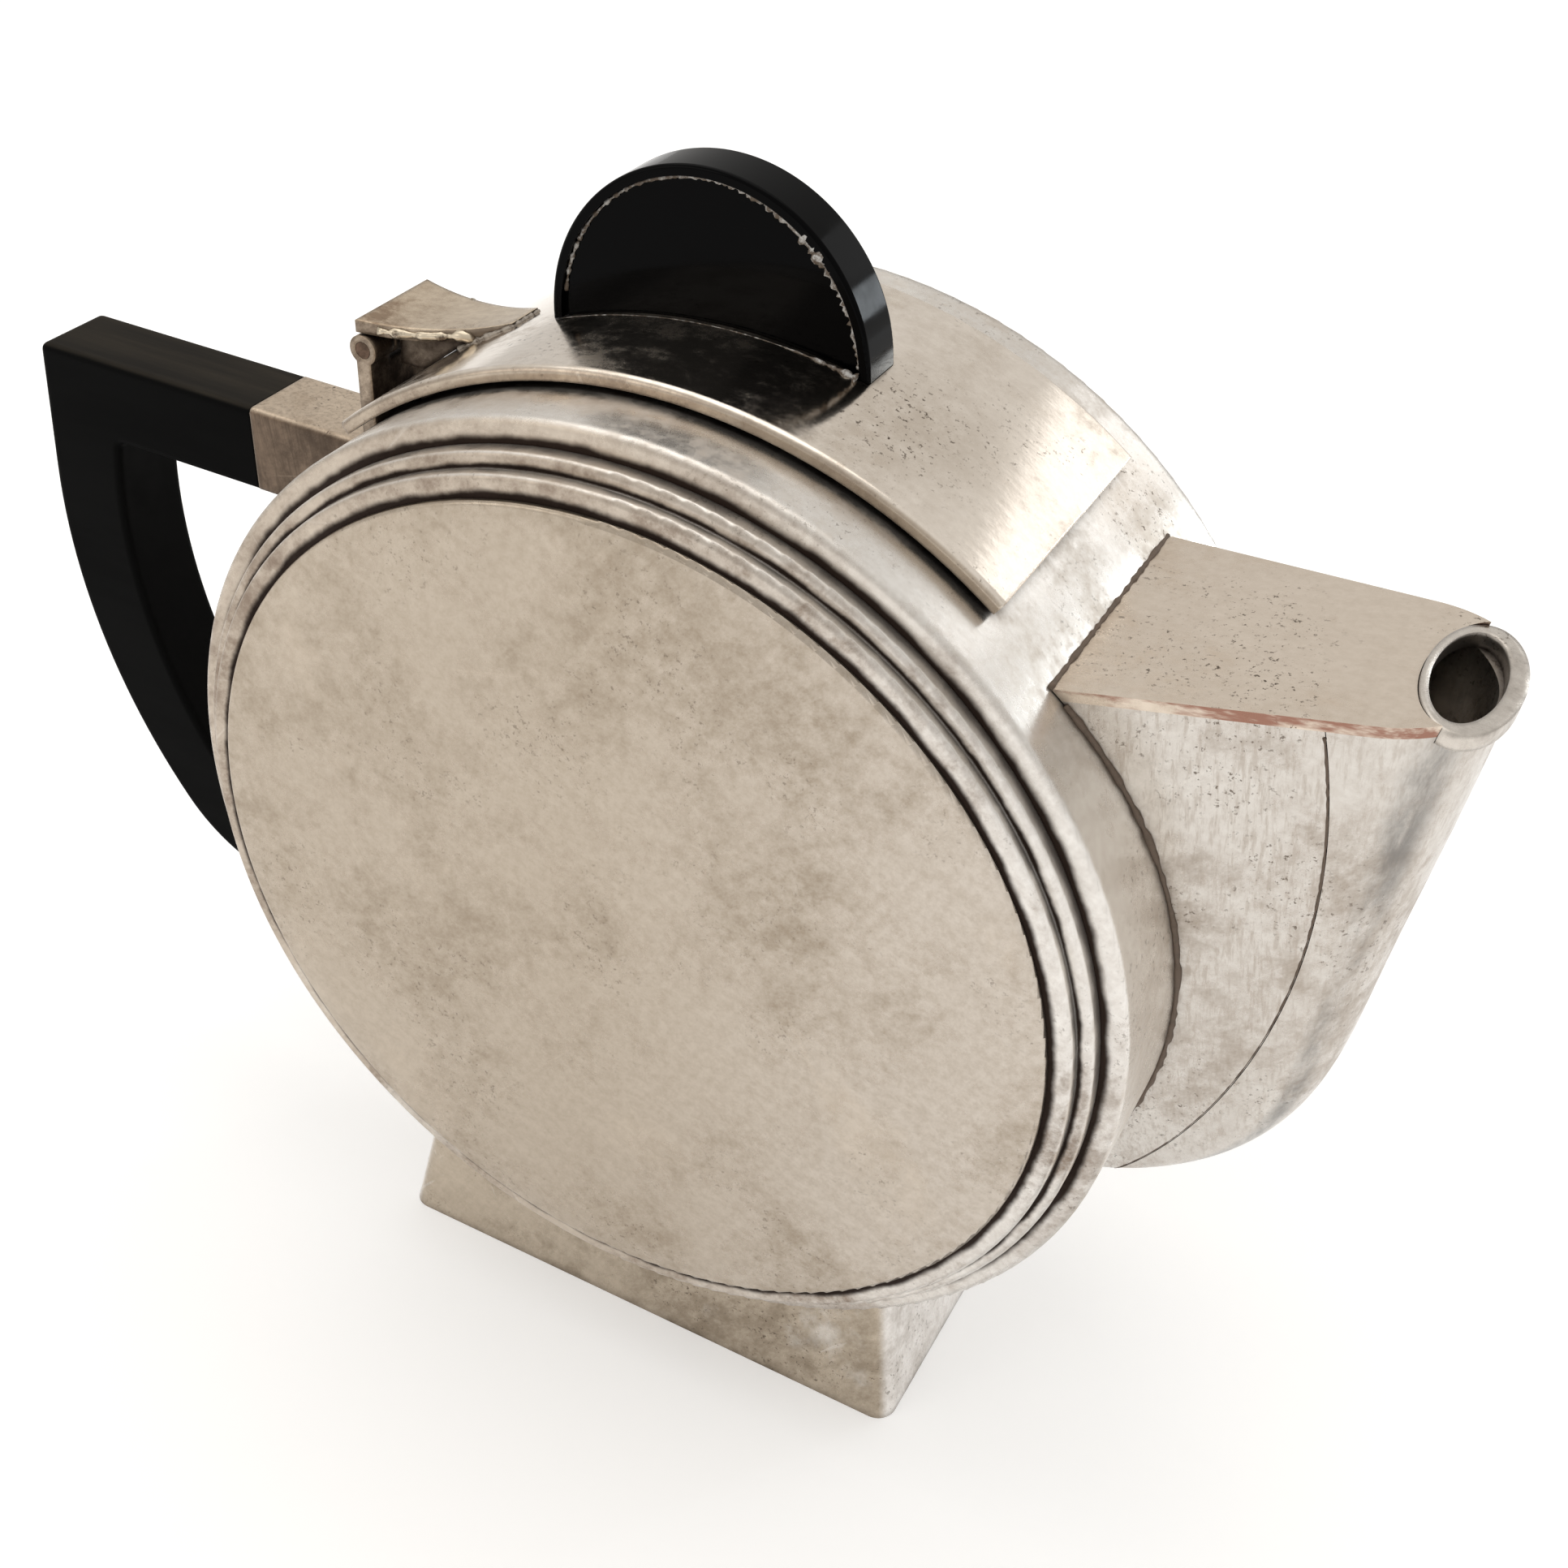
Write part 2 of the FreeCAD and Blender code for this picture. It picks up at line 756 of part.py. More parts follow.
def make_lid():
    blank = new_body("lid_blank")
    edge = size.lid_edge_round
    half = size.lid_half_width
    points = [
        (lid_inner_radius, -half),
        (lid_outer_radius - edge, -half),
        (lid_outer_radius, -half + edge),
        (lid_outer_radius, half - edge),
        (lid_outer_radius - edge, half),
        (lid_inner_radius, half),
    ]
    section = outline(new_sketch(blank, "XY_Plane"), points, {1: edge, 3: edge})
    revolve(blank, section, size.lid_handle_angle + size.lid_spout_angle)
    turn = 90 + (size.lid_handle_angle - size.lid_spout_angle) * 0.5
    blank.Placement = FreeCAD.Placement(Vector(), Rotation(Vector(0, -1, 0), turn.value))
    bind(blank, "Placement.Base.z", axis_height)
    bind(blank, "Placement.Rotation.Angle", turn)
    holes = [upright_cylinder("lid_hole", stud_hole_radius, x, as_size(0), lid_outer_radius * 2)
             for x in stud_places]
    nodes.append(boolean("Cut", "lid", blank, fuse("lid_holes", holes)))


def make_lid_bezel():
    """A frame under the lid that drops into the mouth and follows the lid's curve."""
    clear = size.bezel_clearance
    wall = clear + size.bezel_wall
    outer, inner = (
        block(name, (-size.mouth_handle_reach + inset, -size.mouth_half_width + inset, 0),
              (size.mouth_spout_reach - inset, size.mouth_half_width - inset, lid_outer_radius))
        for name, inset in (("bezel_outer", clear), ("bezel_inner", wall))
    )
    frame = boolean("Cut", "bezel_frame", outer, inner)
    under_lid = lid_inner_radius - size.solder_gap
    trimmed = boolean("Common", "bezel_trimmed", frame,
                      cross_cylinder("bezel_top", under_lid, -drum_width, drum_width))
    bottom = cross_cylinder("bezel_bottom", under_lid - size.bezel_depth, -drum_width, drum_width)
    nodes.append(boolean("Cut", "lid_bezel", trimmed, bottom))


def make_knob():
    """A half disc on edge, dished on both sides inside a raised rim."""
    centre_z = lid_outer_radius - size.knob_sink
    half = size.knob_half_thickness
    disc = cross_cylinder("knob_disc", size.knob_radius, -half, half, -size.knob_offset, centre_z)
    seat = cross_cylinder("knob_seat", lid_outer_radius + size.solder_gap, -drum_width, drum_width)
    standing = boolean("Cut", "knob_standing", disc, seat)
    doc.recompute()
    rounded = doc.addObject("Part::Fillet", "knob_rounded")
    rounded.Base = standing
    radius = size.knob_edge_round.value
    rounded.Edges = [(number, radius, radius) for number, edge in enumerate(standing.Shape.Edges, 1)
                     if is_rim_edge(edge)]
    dish_radius = size.knob_radius - size.knob_rim
    floor = half - size.knob_recess
    cutters = [
        cross_cylinder("knob_dish", dish_radius, low, high, -size.knob_offset, centre_z)
        for low, high in ((-half * 2, -floor), (floor, half * 2))
    ]
    for x in stud_places:
        hole_top = leg(lid_outer_radius, x) + size.stud_embed
        cutters.append(upright_cylinder("knob_hole", stud_hole_radius, x, as_size(0), hole_top))
    nodes.append(boolean("Cut", "lid_knob", rounded, fuse("knob_cuts", cutters)))


def is_rim_edge(edge):
    return hasattr(edge.Curve, "Radius") and abs(edge.Curve.Radius - size.knob_radius.value) < 1e-3


def make_knob_fixings():
    """Two studs into the knob, each with a saddle washer and a nut inside the lid."""
    studs = []
    washers = []
    nuts = []
    under_lid = lid_inner_radius - size.solder_gap
    fit = cross_cylinder("washer_fit", under_lid, -drum_width, drum_width)
    for x in stud_places:
        washer_low = leg(lid_inner_radius, x) - size.washer_depth
        nut_low = washer_low - size.nut_height
        top = leg(lid_outer_radius, x) + size.stud_embed - size.stud_clearance
        studs.append(upright_cylinder("knob_stud", size.stud_radius, x, nut_low - size.stud_tail, top))
        hole = upright_cylinder("fixing_hole", stud_hole_radius, x, as_size(0), lid_outer_radius)
        disc = upright_cylinder("washer_disc", size.washer_radius, x, washer_low, lid_outer_radius)
        shaped = boolean("Common", "washer_shaped", disc, fit)
        washers.append(boolean("Cut", "knob_washer", shaped, hole))
        hexagon = doc.addObject("Part::Prism", "nut_hexagon")
        hexagon.Polygon = 6
        bind(hexagon, "Circumradius", size.nut_flats / root(as_size(3)))
        bind(hexagon, "Height", size.nut_height)
        set_place(hexagon, x, 0, nut_low)
        nuts.append(boolean("Cut", "knob_nut", hexagon, hole))
    nodes.append(together("knob_studs", studs))
    nodes.append(together("knob_washers", washers))
    nodes.append(together("knob_nuts", nuts))


# Spout

def mm(value):
    return value.value


def spout_nose_x(height):
    """How far the nose stands out at a height above the axis: a raked line, then a round keel."""
    rake = math.radians(mm(size.spout_rake_angle))
    tip_x = mm(size.band_radius) + mm(size.spout_reach)
    keel_start = mm(size.spout_keel_start)
    if height >= keel_start:
        return tip_x - math.tan(rake) * (mm(size.spout_tip_above_axis) - height)
    centre_x, centre_z, radius = keel_circle()
    return centre_x + math.sqrt(radius ** 2 - (height - centre_z) ** 2)


def keel_circle():
    """Centre and radius of the keel, tangent to the raked nose where that ends."""
    rake = math.radians(mm(size.spout_rake_angle))
    radius = mm(size.spout_keel_radius)
    start = mm(size.spout_keel_start)
    start_x = spout_nose_x(start)
    return start_x - radius * math.cos(rake), start + radius * math.sin(rake), radius


def spout_heights():
    """Heights of the spout's sections, spaced evenly along its keel and nose."""
    centre_x, centre_z, radius = keel_circle()
    last = mm(size.spout_keel_end_angle)
    first = mm(size.spout_rake_angle)
    keel_shares = [0.0, 0.25, 0.5, 0.75]
    keel = [centre_z - radius * math.sin(math.radians(last + (first - last) * share))
            for share in keel_shares]
    start = mm(size.spout_keel_start)
    above = mm(size.spout_tip_above_axis) + mm(size.spout_tip_half_width)
    nose_shares = [0.0, 0.2, 0.4, 0.6, 0.8, 1.0]
    return keel + [start + (above - start) * share for share in nose_shares]


def spout_section(height, inset):
    """One level section: a straight back inside the drum, two straight sides and a round nose."""
    bottom = spout_heights()[0]
    share = (height - bottom) / (mm(size.spout_tip_above_axis) - bottom)
    keel_half = mm(size.spout_keel_half_width)
    growth = max(share, 0.0) ** mm(size.spout_growth_power)
    half = keel_half + (mm(size.spout_tip_half_width) - keel_half) * growth - inset
    lean = math.radians(mm(size.spout_side_angle))
    nose = spout_nose_x(height) - inset
    shoulder = nose - half * (1.0 - math.sin(lean)) / math.cos(lean)
    back = mm(size.band_radius) * 0.5
    back_half = half + math.tan(lean) * (shoulder - back)
    corners = [Vector(back, -back_half, height), Vector(shoulder, -half, height),
               Vector(shoulder, half, height), Vector(back, back_half, height)]
    nose_arc = Part.Arc(corners[1], Vector(nose, 0, height), corners[2])
    edges = [Part.makeLine(corners[0], corners[1]), nose_arc.toShape(),
             Part.makeLine(corners[2], corners[3]), Part.makeLine(corners[3], corners[0])]
    return Part.Wire(edges)


def spout_loft(inset):
    """The spout's solid, or with an inset the hollow inside its wall."""
    sections = [spout_section(height, inset) for height in spout_heights()]
    solid = Part.makeLoft(sections, True, False)
    solid.translate(Vector(0, 0, inset))
    return solid


def spout_slab(low, high):
    """A wide slab parallel to the spout's top, between two depths measured from its upper face."""
    reach = mm(size.band_radius) * 2
    slab = Part.makeBox(reach * 2, reach * 2, high - low, Vector(-reach, -reach, low))
    slab.rotate(Vector(), Vector(0, -1, 0), mm(size.spout_plate_angle))
    slab.translate(spout_root())
    return slab


def spout_root():
    """Where the spout's flat top meets the band."""
    height = mm(size.spout_root_above_axis)
    return Vector(math.sqrt(mm(size.band_radius) ** 2 - height ** 2), 0, height)


def oval_prism(half_length, half_breadth, setback, low, high):
    """An oval square to the mouth's own slope, between two depths from the lip's upper face."""
    ellipse = Part.Ellipse(Vector(), half_breadth, half_length)
    face = Part.Face(Part.Wire([ellipse.toShape()]))
    prism = face.extrude(Vector(0, 0, high - low))
    prism.rotate(Vector(), Vector(0, 0, 1), 90)
    prism.translate(Vector(-setback, 0, low))
    prism.rotate(Vector(), Vector(0, -1, 0), mm(size.lip_angle))
    prism.translate(lip_centre())
    return prism


def lip_centre():
    """The middle of the lip's upper face, level with the spout's tip."""
    x = mm(size.band_radius) + mm(size.spout_reach) - mm(size.lip_inset)
    return Vector(x, 0, mm(size.spout_tip_above_axis) - mm(size.lip_drop))


def drum_cylinder(radius, reach):
    return Part.makeCylinder(radius, reach * 2, Vector(0, -reach, 0), Vector(0, 1, 0))


def seam_cylinder(grow):
    """The seam between the side panels and the nose is a large circle seen from the side."""
    radius = mm(size.seam_radius)
    x = mm(size.band_radius) + mm(size.seam_reach)
    reach = mm(size.band_radius)
    return Part.makeCylinder(radius + grow, reach * 2,
                             Vector(x - radius, -reach, mm(size.seam_above_axis)), Vector(0, 1, 0))


def make_spout():
    reach = mm(size.band_radius)
    plate_depth = mm(size.spout_plate_thickness)
    outside = spout_loft(0.0)
    inside = spout_loft(mm(size.spout_wall))
    outside = outside.cut(drum_cylinder(mm(seat_radius), reach))
    gap = mm(size.solder_gap)
    lip_size = mm(size.lip_half_length), mm(size.lip_half_breadth)
    seat_size = [half + gap for half in lip_size]
    hole_size = mm(size.mouth_half_length), mm(size.mouth_half_breadth)
    seat = oval_prism(*seat_size, 0.0, -mm(size.lip_depth), reach)
    hole = oval_prism(*hole_size, mm(size.mouth_setback), -reach, reach)

    plate = outside.common(spout_slab(-plate_depth, 0.0)).cut(seat)
    as_node("spout_top_plate", largest(plate))
    ring = oval_prism(*lip_size, 0.0, -mm(size.lip_depth), 0.0)
    as_node("spout_lip", ring.cut(hole))

    hollow = outside.common(spout_slab(-reach * 3, -plate_depth)).cut(inside).cut(seat)
    as_node("spout_shell", hollow.common(seam_cylinder(0.0)))
    as_node("spout_nose", largest(hollow.cut(seam_cylinder(gap))))


def largest(shape):
    """The biggest solid of a cut, without the offcuts beside it."""
    return max(shape.Solids, key=lambda solid: solid.Volume)


def make_strainer():
    """A pierced plate that follows the band's inside over the window behind the spout."""
    reach = mm(size.band_radius)
    outer = reach - mm(size.sheet_wall) - mm(size.solder_gap)
    inner = outer - mm(size.strainer_thickness)
    margin = mm(size.strainer_margin)
    low = mm(size.window_bottom) - margin
    high = mm(size.window_top) + margin
    half = mm(size.window_half_width) + margin
    plate = drum_cylinder(outer, half).cut(drum_cylinder(inner, half))
    plate = plate.common(Part.makeBox(reach, half * 2, high - low, Vector(0, -half, low)))
    pitch = mm(size.strainer_pitch)
    middle = (low + high) * 0.5
    holes = []
    odd_row = (-1, 0, 1)
    even_row = (-1.5, -0.5, 0.5, 1.5)
    for row, places in zip((-2, -1, 0, 1, 2), (even_row, odd_row, even_row, odd_row, even_row)):
        for place in places:
            y = place * pitch
            z = middle + row * pitch
            hole = Part.makeCylinder(mm(size.strainer_hole_radius), reach, Vector(0, y, 0), Vector(1, 0, 0))
            hole.rotate(Vector(), Vector(0, -1, 0), math.degrees(math.asin(z / outer)))
            holes.append(hole)
    as_node("spout_strainer", plate.cut(holes))


def as_node(name, shape):
    """A node from a worked shape; a shape of one solid is kept as that solid."""
    item = doc.addObject("Part::Feature", name)
    item.Shape = shape.Solids[0] if len(shape.Solids) == 1 else shape
    item.Label = name
    item.Placement = FreeCAD.Placement(Vector(0, 0, mm(axis_height)), Rotation())
    nodes.append(item)


make_band()
make_rim("front", -1)
make_rim("rear", 1)
make_foot()
make_foot_plate()
make_socket("upper_socket", *sockets[0])
make_socket("lower_socket", *sockets[1])
make_handle()
make_handle_pins()
make_hinge_bracket()
make_hinge_pin()
make_hinge_leaf()
make_lid()
make_lid_bezel()
make_knob()
make_knob_fixings()
make_spout()
make_strainer()
doc.recompute()

# Every object must be sound before anything is written.
for item in doc.Objects:
    if "Invalid" in item.State or "Error" in item.State:
        raise RuntimeError("%s did not build: %s" % (item.Name, item.State))
for item in nodes:
    if item.Shape.isNull() or not item.Shape.isValid() or not item.Shape.Solids:
        raise RuntimeError("%s has no valid shape" % item.Label)

os.makedirs("parts", exist_ok=True)
for item in nodes:
    item.Shape.exportStep("parts/%s.step" % item.Label)
    box = item.Shape.optimalBoundingBox(False)
    print("%s: %d solid, %.0f mm3, x %.1f to %.1f, y %.1f to %.1f, z %.1f to %.1f" % (
        item.Label, len(item.Shape.Solids), item.Shape.Volume,
        box.XMin, box.XMax, box.YMin, box.YMax, box.ZMin, box.ZMax))
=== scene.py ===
import math
import random

import bpy
from mathutils import Matrix, Vector
from mathutils.bvhtree import BVHTree


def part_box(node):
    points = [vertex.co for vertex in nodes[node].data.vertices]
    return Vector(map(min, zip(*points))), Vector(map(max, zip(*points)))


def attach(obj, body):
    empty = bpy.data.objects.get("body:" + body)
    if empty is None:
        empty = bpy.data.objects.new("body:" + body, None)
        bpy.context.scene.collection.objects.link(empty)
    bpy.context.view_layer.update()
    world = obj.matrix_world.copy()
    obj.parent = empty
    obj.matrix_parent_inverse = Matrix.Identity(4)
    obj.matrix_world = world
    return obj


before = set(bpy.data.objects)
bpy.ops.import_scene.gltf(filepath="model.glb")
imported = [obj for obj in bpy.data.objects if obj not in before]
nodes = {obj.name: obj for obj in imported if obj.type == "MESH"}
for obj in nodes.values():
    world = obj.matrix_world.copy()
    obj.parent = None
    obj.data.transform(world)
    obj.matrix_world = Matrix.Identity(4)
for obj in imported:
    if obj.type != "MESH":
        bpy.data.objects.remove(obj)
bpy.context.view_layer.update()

MM = 0.001
SIDES = ((-1, "front"), (1, "rear"))

# Photo's camera
CAMERA_PLACE = Vector((0.1012, -0.1908, 0.2484))
CAMERA_TARGET = Vector((0.0076, 0.0, 0.0870))
CAMERA_ROLL = math.radians(3.12)
CAMERA_LENS = 45.6
CAMERA_SENSOR = 36.0
CAMERA_NEAR = 0.01

# Metal colours, linear: clean, then stained. The _SIDE pairs are darker copies for the faces that look
# along Y: painted shade.
FACE = ((0.515, 0.445, 0.365), (0.345, 0.28, 0.21))
RIM = ((0.85, 0.81, 0.76), (0.56, 0.49, 0.415))
RIM_SHADED_SIDE = ((0.60, 0.525, 0.44), (0.30, 0.235, 0.185))
LID = ((0.86, 0.78, 0.69), (0.57, 0.49, 0.405))
LID_SHADED_SIDE = ((0.56, 0.475, 0.38), (0.26, 0.20, 0.155))
PLATE = ((0.78, 0.68, 0.575), (0.54, 0.445, 0.35))
LIP = ((0.70, 0.65, 0.59), (0.40, 0.36, 0.32))
SPOUT = ((0.71, 0.675, 0.63), (0.42, 0.36, 0.305))
FOOT = ((0.92, 0.89, 0.86), (0.52, 0.475, 0.43))
FOOT_SHADED_SIDE = ((0.53, 0.455, 0.365), (0.25, 0.20, 0.145))
SOCKET = ((0.64, 0.525, 0.405), (0.30, 0.235, 0.175))
SOCKET_SHADED_SIDE = ((0.19, 0.138, 0.10), (0.08, 0.058, 0.043))
HINGE = ((0.74, 0.615, 0.465), (0.27, 0.19, 0.125))
HINGE_SHADED_SIDE = ((0.50, 0.41, 0.32), (0.16, 0.12, 0.088))
PIN = ((0.22, 0.14, 0.10), (0.08, 0.055, 0.04))

# Other colours, linear
# Paler colours mixed in towards the spout: painted highlight
FACE_PAINTED_HIGHLIGHT = (0.61, 0.55, 0.485)
RIM_PAINTED_HIGHLIGHT = (0.84, 0.81, 0.77)
STREAK = (0.21, 0.20, 0.19)
# Dark brown for dirt and painted shade in corners, grooves and hollows
CORNER_DIRT_AND_SHADE = (0.034, 0.023, 0.0185)
SPECK = (0.12, 0.09, 0.066)
COPPER = (0.33, 0.175, 0.13)
SOLDER = (0.42, 0.375, 0.325)
CRUST = (0.15, 0.108, 0.08)
LUMP = (0.66, 0.57, 0.44)
EBONY = (0.0035, 0.0035, 0.0035)
EBONY_WORN = (0.034, 0.029, 0.023)
JET = (0.001, 0.001, 0.0012)
RESIDUE = (0.55, 0.54, 0.52)
PAPER = (0.9, 0.9, 0.9)

# Noise: cells per metre, detail, roughness, stretch along each axis, turn about Y
FINE_NOISE = (230.0, 7.0, 0.76, (1.0, 1.0, 1.6), 0.8)
CLOUD_NOISE = (26.0, 9.0, 0.74)
GRIT_NOISE = (700.0, 5.0, 0.75)
RUB_NOISE = (42.0, 6.0, 0.62, (1.0, 0.8, 1.3))
UPRIGHT_HAIRS = (900.0, 2.0, 0.5, (1.0, 1.0, 20.0), 0.5)
LEVEL_HAIRS = (800.0, 2.0, 0.5, (16.0, 1.0, 1.0), 0.35)
STROKE_NOISE = (1500.0, 4.0, 0.7, (1.0, 1.0, 16.0), -0.12)
SCRATCH_NOISE = (620.0, 2.0, 0.5, (1.0, 1.0, 22.0))
SPREAD_NOISE = (55.0, 3.0)
DOT_NOISE = (1300.0, 3.0, 0.75)
COPPER_NOISE = (240.0, 5.0, 0.7, (5.0, 1.0, 1.0))
STREAK_NOISE = (90.0, 6.0, 0.7, (1.0, 1.0, 3.0))
GROOVE_NOISE = (160.0, 4.0)
EBONY_NOISE = (300.0, 5.0, 0.6, (12.0, 1.0, 2.0))
HAZE_NOISE = (90.0, 5.0, 0.6)
SKIN_NOISE = (400.0, 3.0)
SCRATCH_TURNS = (0.7, -0.5, 1.3)

# Finish
POLISH_GAIN = 1.2
CORNER_SAMPLES = 8
EDGE_SAMPLES = 6
EBONY_EDGE = 0.7 * MM
# Where the painted highlight towards the spout begins, along X
PAINTED_HIGHLIGHT_START = -10.0 * MM
GROOVE_WAVE = 0.2 * MM
GROOVE_SHARES = (0.15, 0.48)

# Beads: thinnest and thickest radius
ROOT_BEAD = (0.25 * MM, 0.6 * MM)
TOP_BEAD = (0.15 * MM, 0.45 * MM)
SOCKET_BEAD = (0.15 * MM, 0.35 * MM)
LEAF_BEAD = (0.2 * MM, 0.55 * MM)
SEAM_BEAD = (0.1 * MM, 0.28 * MM)
LUMP_BEAD = (0.25 * MM, 0.8 * MM)
RIM_BEAD = (0.12 * MM, 0.5 * MM)
KNOB_FOOT_BEAD = (0.04 * MM, 0.2 * MM)
BEAD_SIDES = 8
BEAD_SEED = 11

# What carries a bead: body, then material slot
ON_POT = ("pot", "silver_plate")
ON_LEAF = ("lid_assembly", "hinge_metal")
ON_KNOB = ("lid_assembly", "knob_black")

# Sizes that the frame's boxes don't give
RING_STEP = 1.9 * MM
SEAM_RADIUS = 105.4 * MM
SEAM_REACH = 13.3 * MM
SEAM_ABOVE = 21.6 * MM
SEAM_INSET = 0.1 * MM
ROOT_OUTSET = 0.15 * MM
ROOT_NEAR = 0.12 * MM
SPOUT_MIDDLE = 0.5 * MM
LEAF_TIP = 2.8 * MM
LEAF_FLARE = 1.6 * MM
LEAF_SOLDER_LENGTH = 7.0 * MM
LUMP_MARGIN = 4.0 * MM
LUMP_ROW = 1.5 * MM
LUMP_EDGE = 0.3 * MM
KNOB_RIM_WIDTH = 1.5 * MM
KNOB_RIM_DEPTH = 0.7 * MM

# Stage and light
FLOOR_SIZE = 6.0
FLOOR_LIFT = 0.28
ROOM = ((0.0, (0.66, 0.645, 0.625)), (1.0, (0.80, 0.785, 0.76)), (0.45, (0.73, 0.715, 0.69)))
LAMPS = (
    ("key", (0.36, 0.86, 0.47), (0.34, 0.30), 0.28, (0.97, 0.985, 1.0)),
    ("strip", (0.53, 0.80, 0.22), (0.05, 0.20), 0.42, (0.88, 0.95, 1.0)),
    ("ceiling", (-0.20, 0.10, 0.80), (0.7, 0.7), 1.6, (1.0, 0.97, 0.93)),
    ("front_fill", (-0.60, -0.70, 0.50), (0.5, 0.5), 0.8, (1.0, 0.96, 0.91)),
)

# Drum, lid and knob, read from the frame
band_low, band_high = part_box("body_band")
knob_low, knob_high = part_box("lid_knob")
lid_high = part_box("lid")[1]
AXIS_Z = (band_low.z + band_high.z) / 2
BAND_RADIUS = (band_high.z - band_low.z) / 2
LID_RADIUS = lid_high.z - AXIS_Z
FACE_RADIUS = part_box("front_face")[1].x
RING_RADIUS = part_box("front_moulding")[1].x
INNER_RING_RADIUS = RING_RADIUS - RING_STEP
LEDGES = ((FACE_RADIUS, INNER_RING_RADIUS), (INNER_RING_RADIUS, RING_RADIUS), (RING_RADIUS, BAND_RADIUS))

# Dark patches: centre and radius
stain_x = (lid_high.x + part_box("spout_top_plate")[0].x) / 2
stain_z = AXIS_Z + math.sqrt(BAND_RADIUS ** 2 - stain_x ** 2)
BAND_STAIN = ((stain_x, 18.0 * MM, stain_z), 13.0 * MM)
LID_STAIN = ((knob_high.x + 6.0 * MM, -6.0 * MM, lid_high.z - 3.0 * MM), 17.0 * MM)


# Node helpers

class Graph:
    """A material's node tree with short calls to add and join nodes."""

    def __init__(self, name):
        self.material = bpy.data.materials.new(name)
        self.material.use_nodes = True
        self.tree = self.material.node_tree
        self.tree.nodes.clear()
        self.shader = self.add("ShaderNodeBsdfPrincipled")
        output = self.add("ShaderNodeOutputMaterial")
        self.join(self.shader.outputs["BSDF"], output.inputs["Surface"])
        self.place = self.add("ShaderNodeTexCoord").outputs["Object"]
        self.normal = self.add("ShaderNodeNewGeometry").outputs["Normal"]

    def add(self, kind):
        return self.tree.nodes.new(kind)

    def join(self, source, target):
        self.tree.links.new(source, target)

    def feed(self, value, socket):
        """Joins a socket, or sets a constant."""
        if isinstance(value, bpy.types.NodeSocket):
            self.join(value, socket)
        elif isinstance(value, tuple):
            socket.default_value = (*value, 1.0)
        else:
            socket.default_value = value

    def noise(self, scale, detail=4.0, roughness=0.55, grow=(1.0, 1.0, 1.0), turn=0.0):
        """Noise drawn out along an axis, after a turn about Y."""
        mapping = self.add("ShaderNodeMapping")
        mapping.vector_type = "TEXTURE"
        mapping.inputs["Rotation"].default_value = (0.0, turn, 0.0)
        mapping.inputs["Scale"].default_value = grow
        self.join(self.place, mapping.inputs["Vector"])
        texture = self.add("ShaderNodeTexNoise")
        texture.inputs["Scale"].default_value = scale
        texture.inputs["Detail"].default_value = detail
        texture.inputs["Roughness"].default_value = roughness
        self.join(mapping.outputs["Vector"], texture.inputs["Vector"])
        return texture.outputs["Fac"]

    def between(self, value, low, high, start=0.0, end=1.0):
        """Maps low..high onto start..end, smooth and clamped."""
        node = self.add("ShaderNodeMapRange")
        node.interpolation_type = "SMOOTHSTEP"
        self.feed(value, node.inputs["Value"])
        node.inputs["From Min"].default_value = low
        node.inputs["From Max"].default_value = high
        node.inputs["To Min"].default_value = start
        node.inputs["To Max"].default_value = end
        return node.outputs["Result"]

    def math(self, operation, first, second=0.0):
        node = self.add("ShaderNodeMath")
        node.operation = operation
        node.use_clamp = operation in ("MULTIPLY", "MAXIMUM")
        self.feed(first, node.inputs[0])
        self.feed(second, node.inputs[1])
        return node.outputs["Value"]

    def mix(self, share, first, second):
        node = self.add("ShaderNodeMix")
        node.data_type = "RGBA"
        self.feed(share, node.inputs["Factor"])
        self.feed(first, node.inputs["A"])
        self.feed(second, node.inputs["B"])
        return node.outputs["Result"]

    def recess(self, distance):
        """1 deep in a corner or hollow, 0 in the open."""
        node = self.add("ShaderNodeAmbientOcclusion")
        node.samples = CORNER_SAMPLES
        node.inputs["Distance"].default_value = distance
        return self.between(node.outputs["AO"], 0.25, 0.85, 1.0, 0.0)

    def part(self, vector, axis):
        split = self.add("ShaderNodeSeparateXYZ")
        self.join(vector, split.inputs["Vector"])
        return split.outputs[axis]

    def facing(self, axis):
        """One component of the surface's direction."""
        return self.part(self.normal, axis)

    def sideways(self, low, high):
        """1 where the surface looks along Y, 0 where it looks across."""
        return self.between(self.math("ABSOLUTE", self.facing("Y")), low, high)

    def soften(self, radius):
        """Rounds the edges in the shading."""
        node = self.add("ShaderNodeBevel")
        node.samples = EDGE_SAMPLES
        node.inputs["Radius"].default_value = radius
        self.normal = node.outputs["Normal"]

    def bump(self, height, strength, distance):
        node = self.add("ShaderNodeBump")
        node.inputs["Strength"].default_value = strength
        node.inputs["Distance"].default_value = distance
        self.join(height, node.inputs["Height"])
        self.join(self.normal, node.inputs["Normal"])
        self.join(node.outputs["Normal"], self.shader.inputs["Normal"])

    def gloss(self, index, level):
        """Refraction index and specular level of a material that isn't metal."""
        self.shader.inputs["IOR"].default_value = index
        self.shader.inputs["Specular IOR Level"].default_value = level

    def finish(self, colour, roughness, metallic):
        self.feed(colour, self.shader.inputs["Base Color"])
        self.feed(roughness, self.shader.inputs["Roughness"])
        self.shader.inputs["Metallic"].default_value = metallic
        return self.material


# Materials

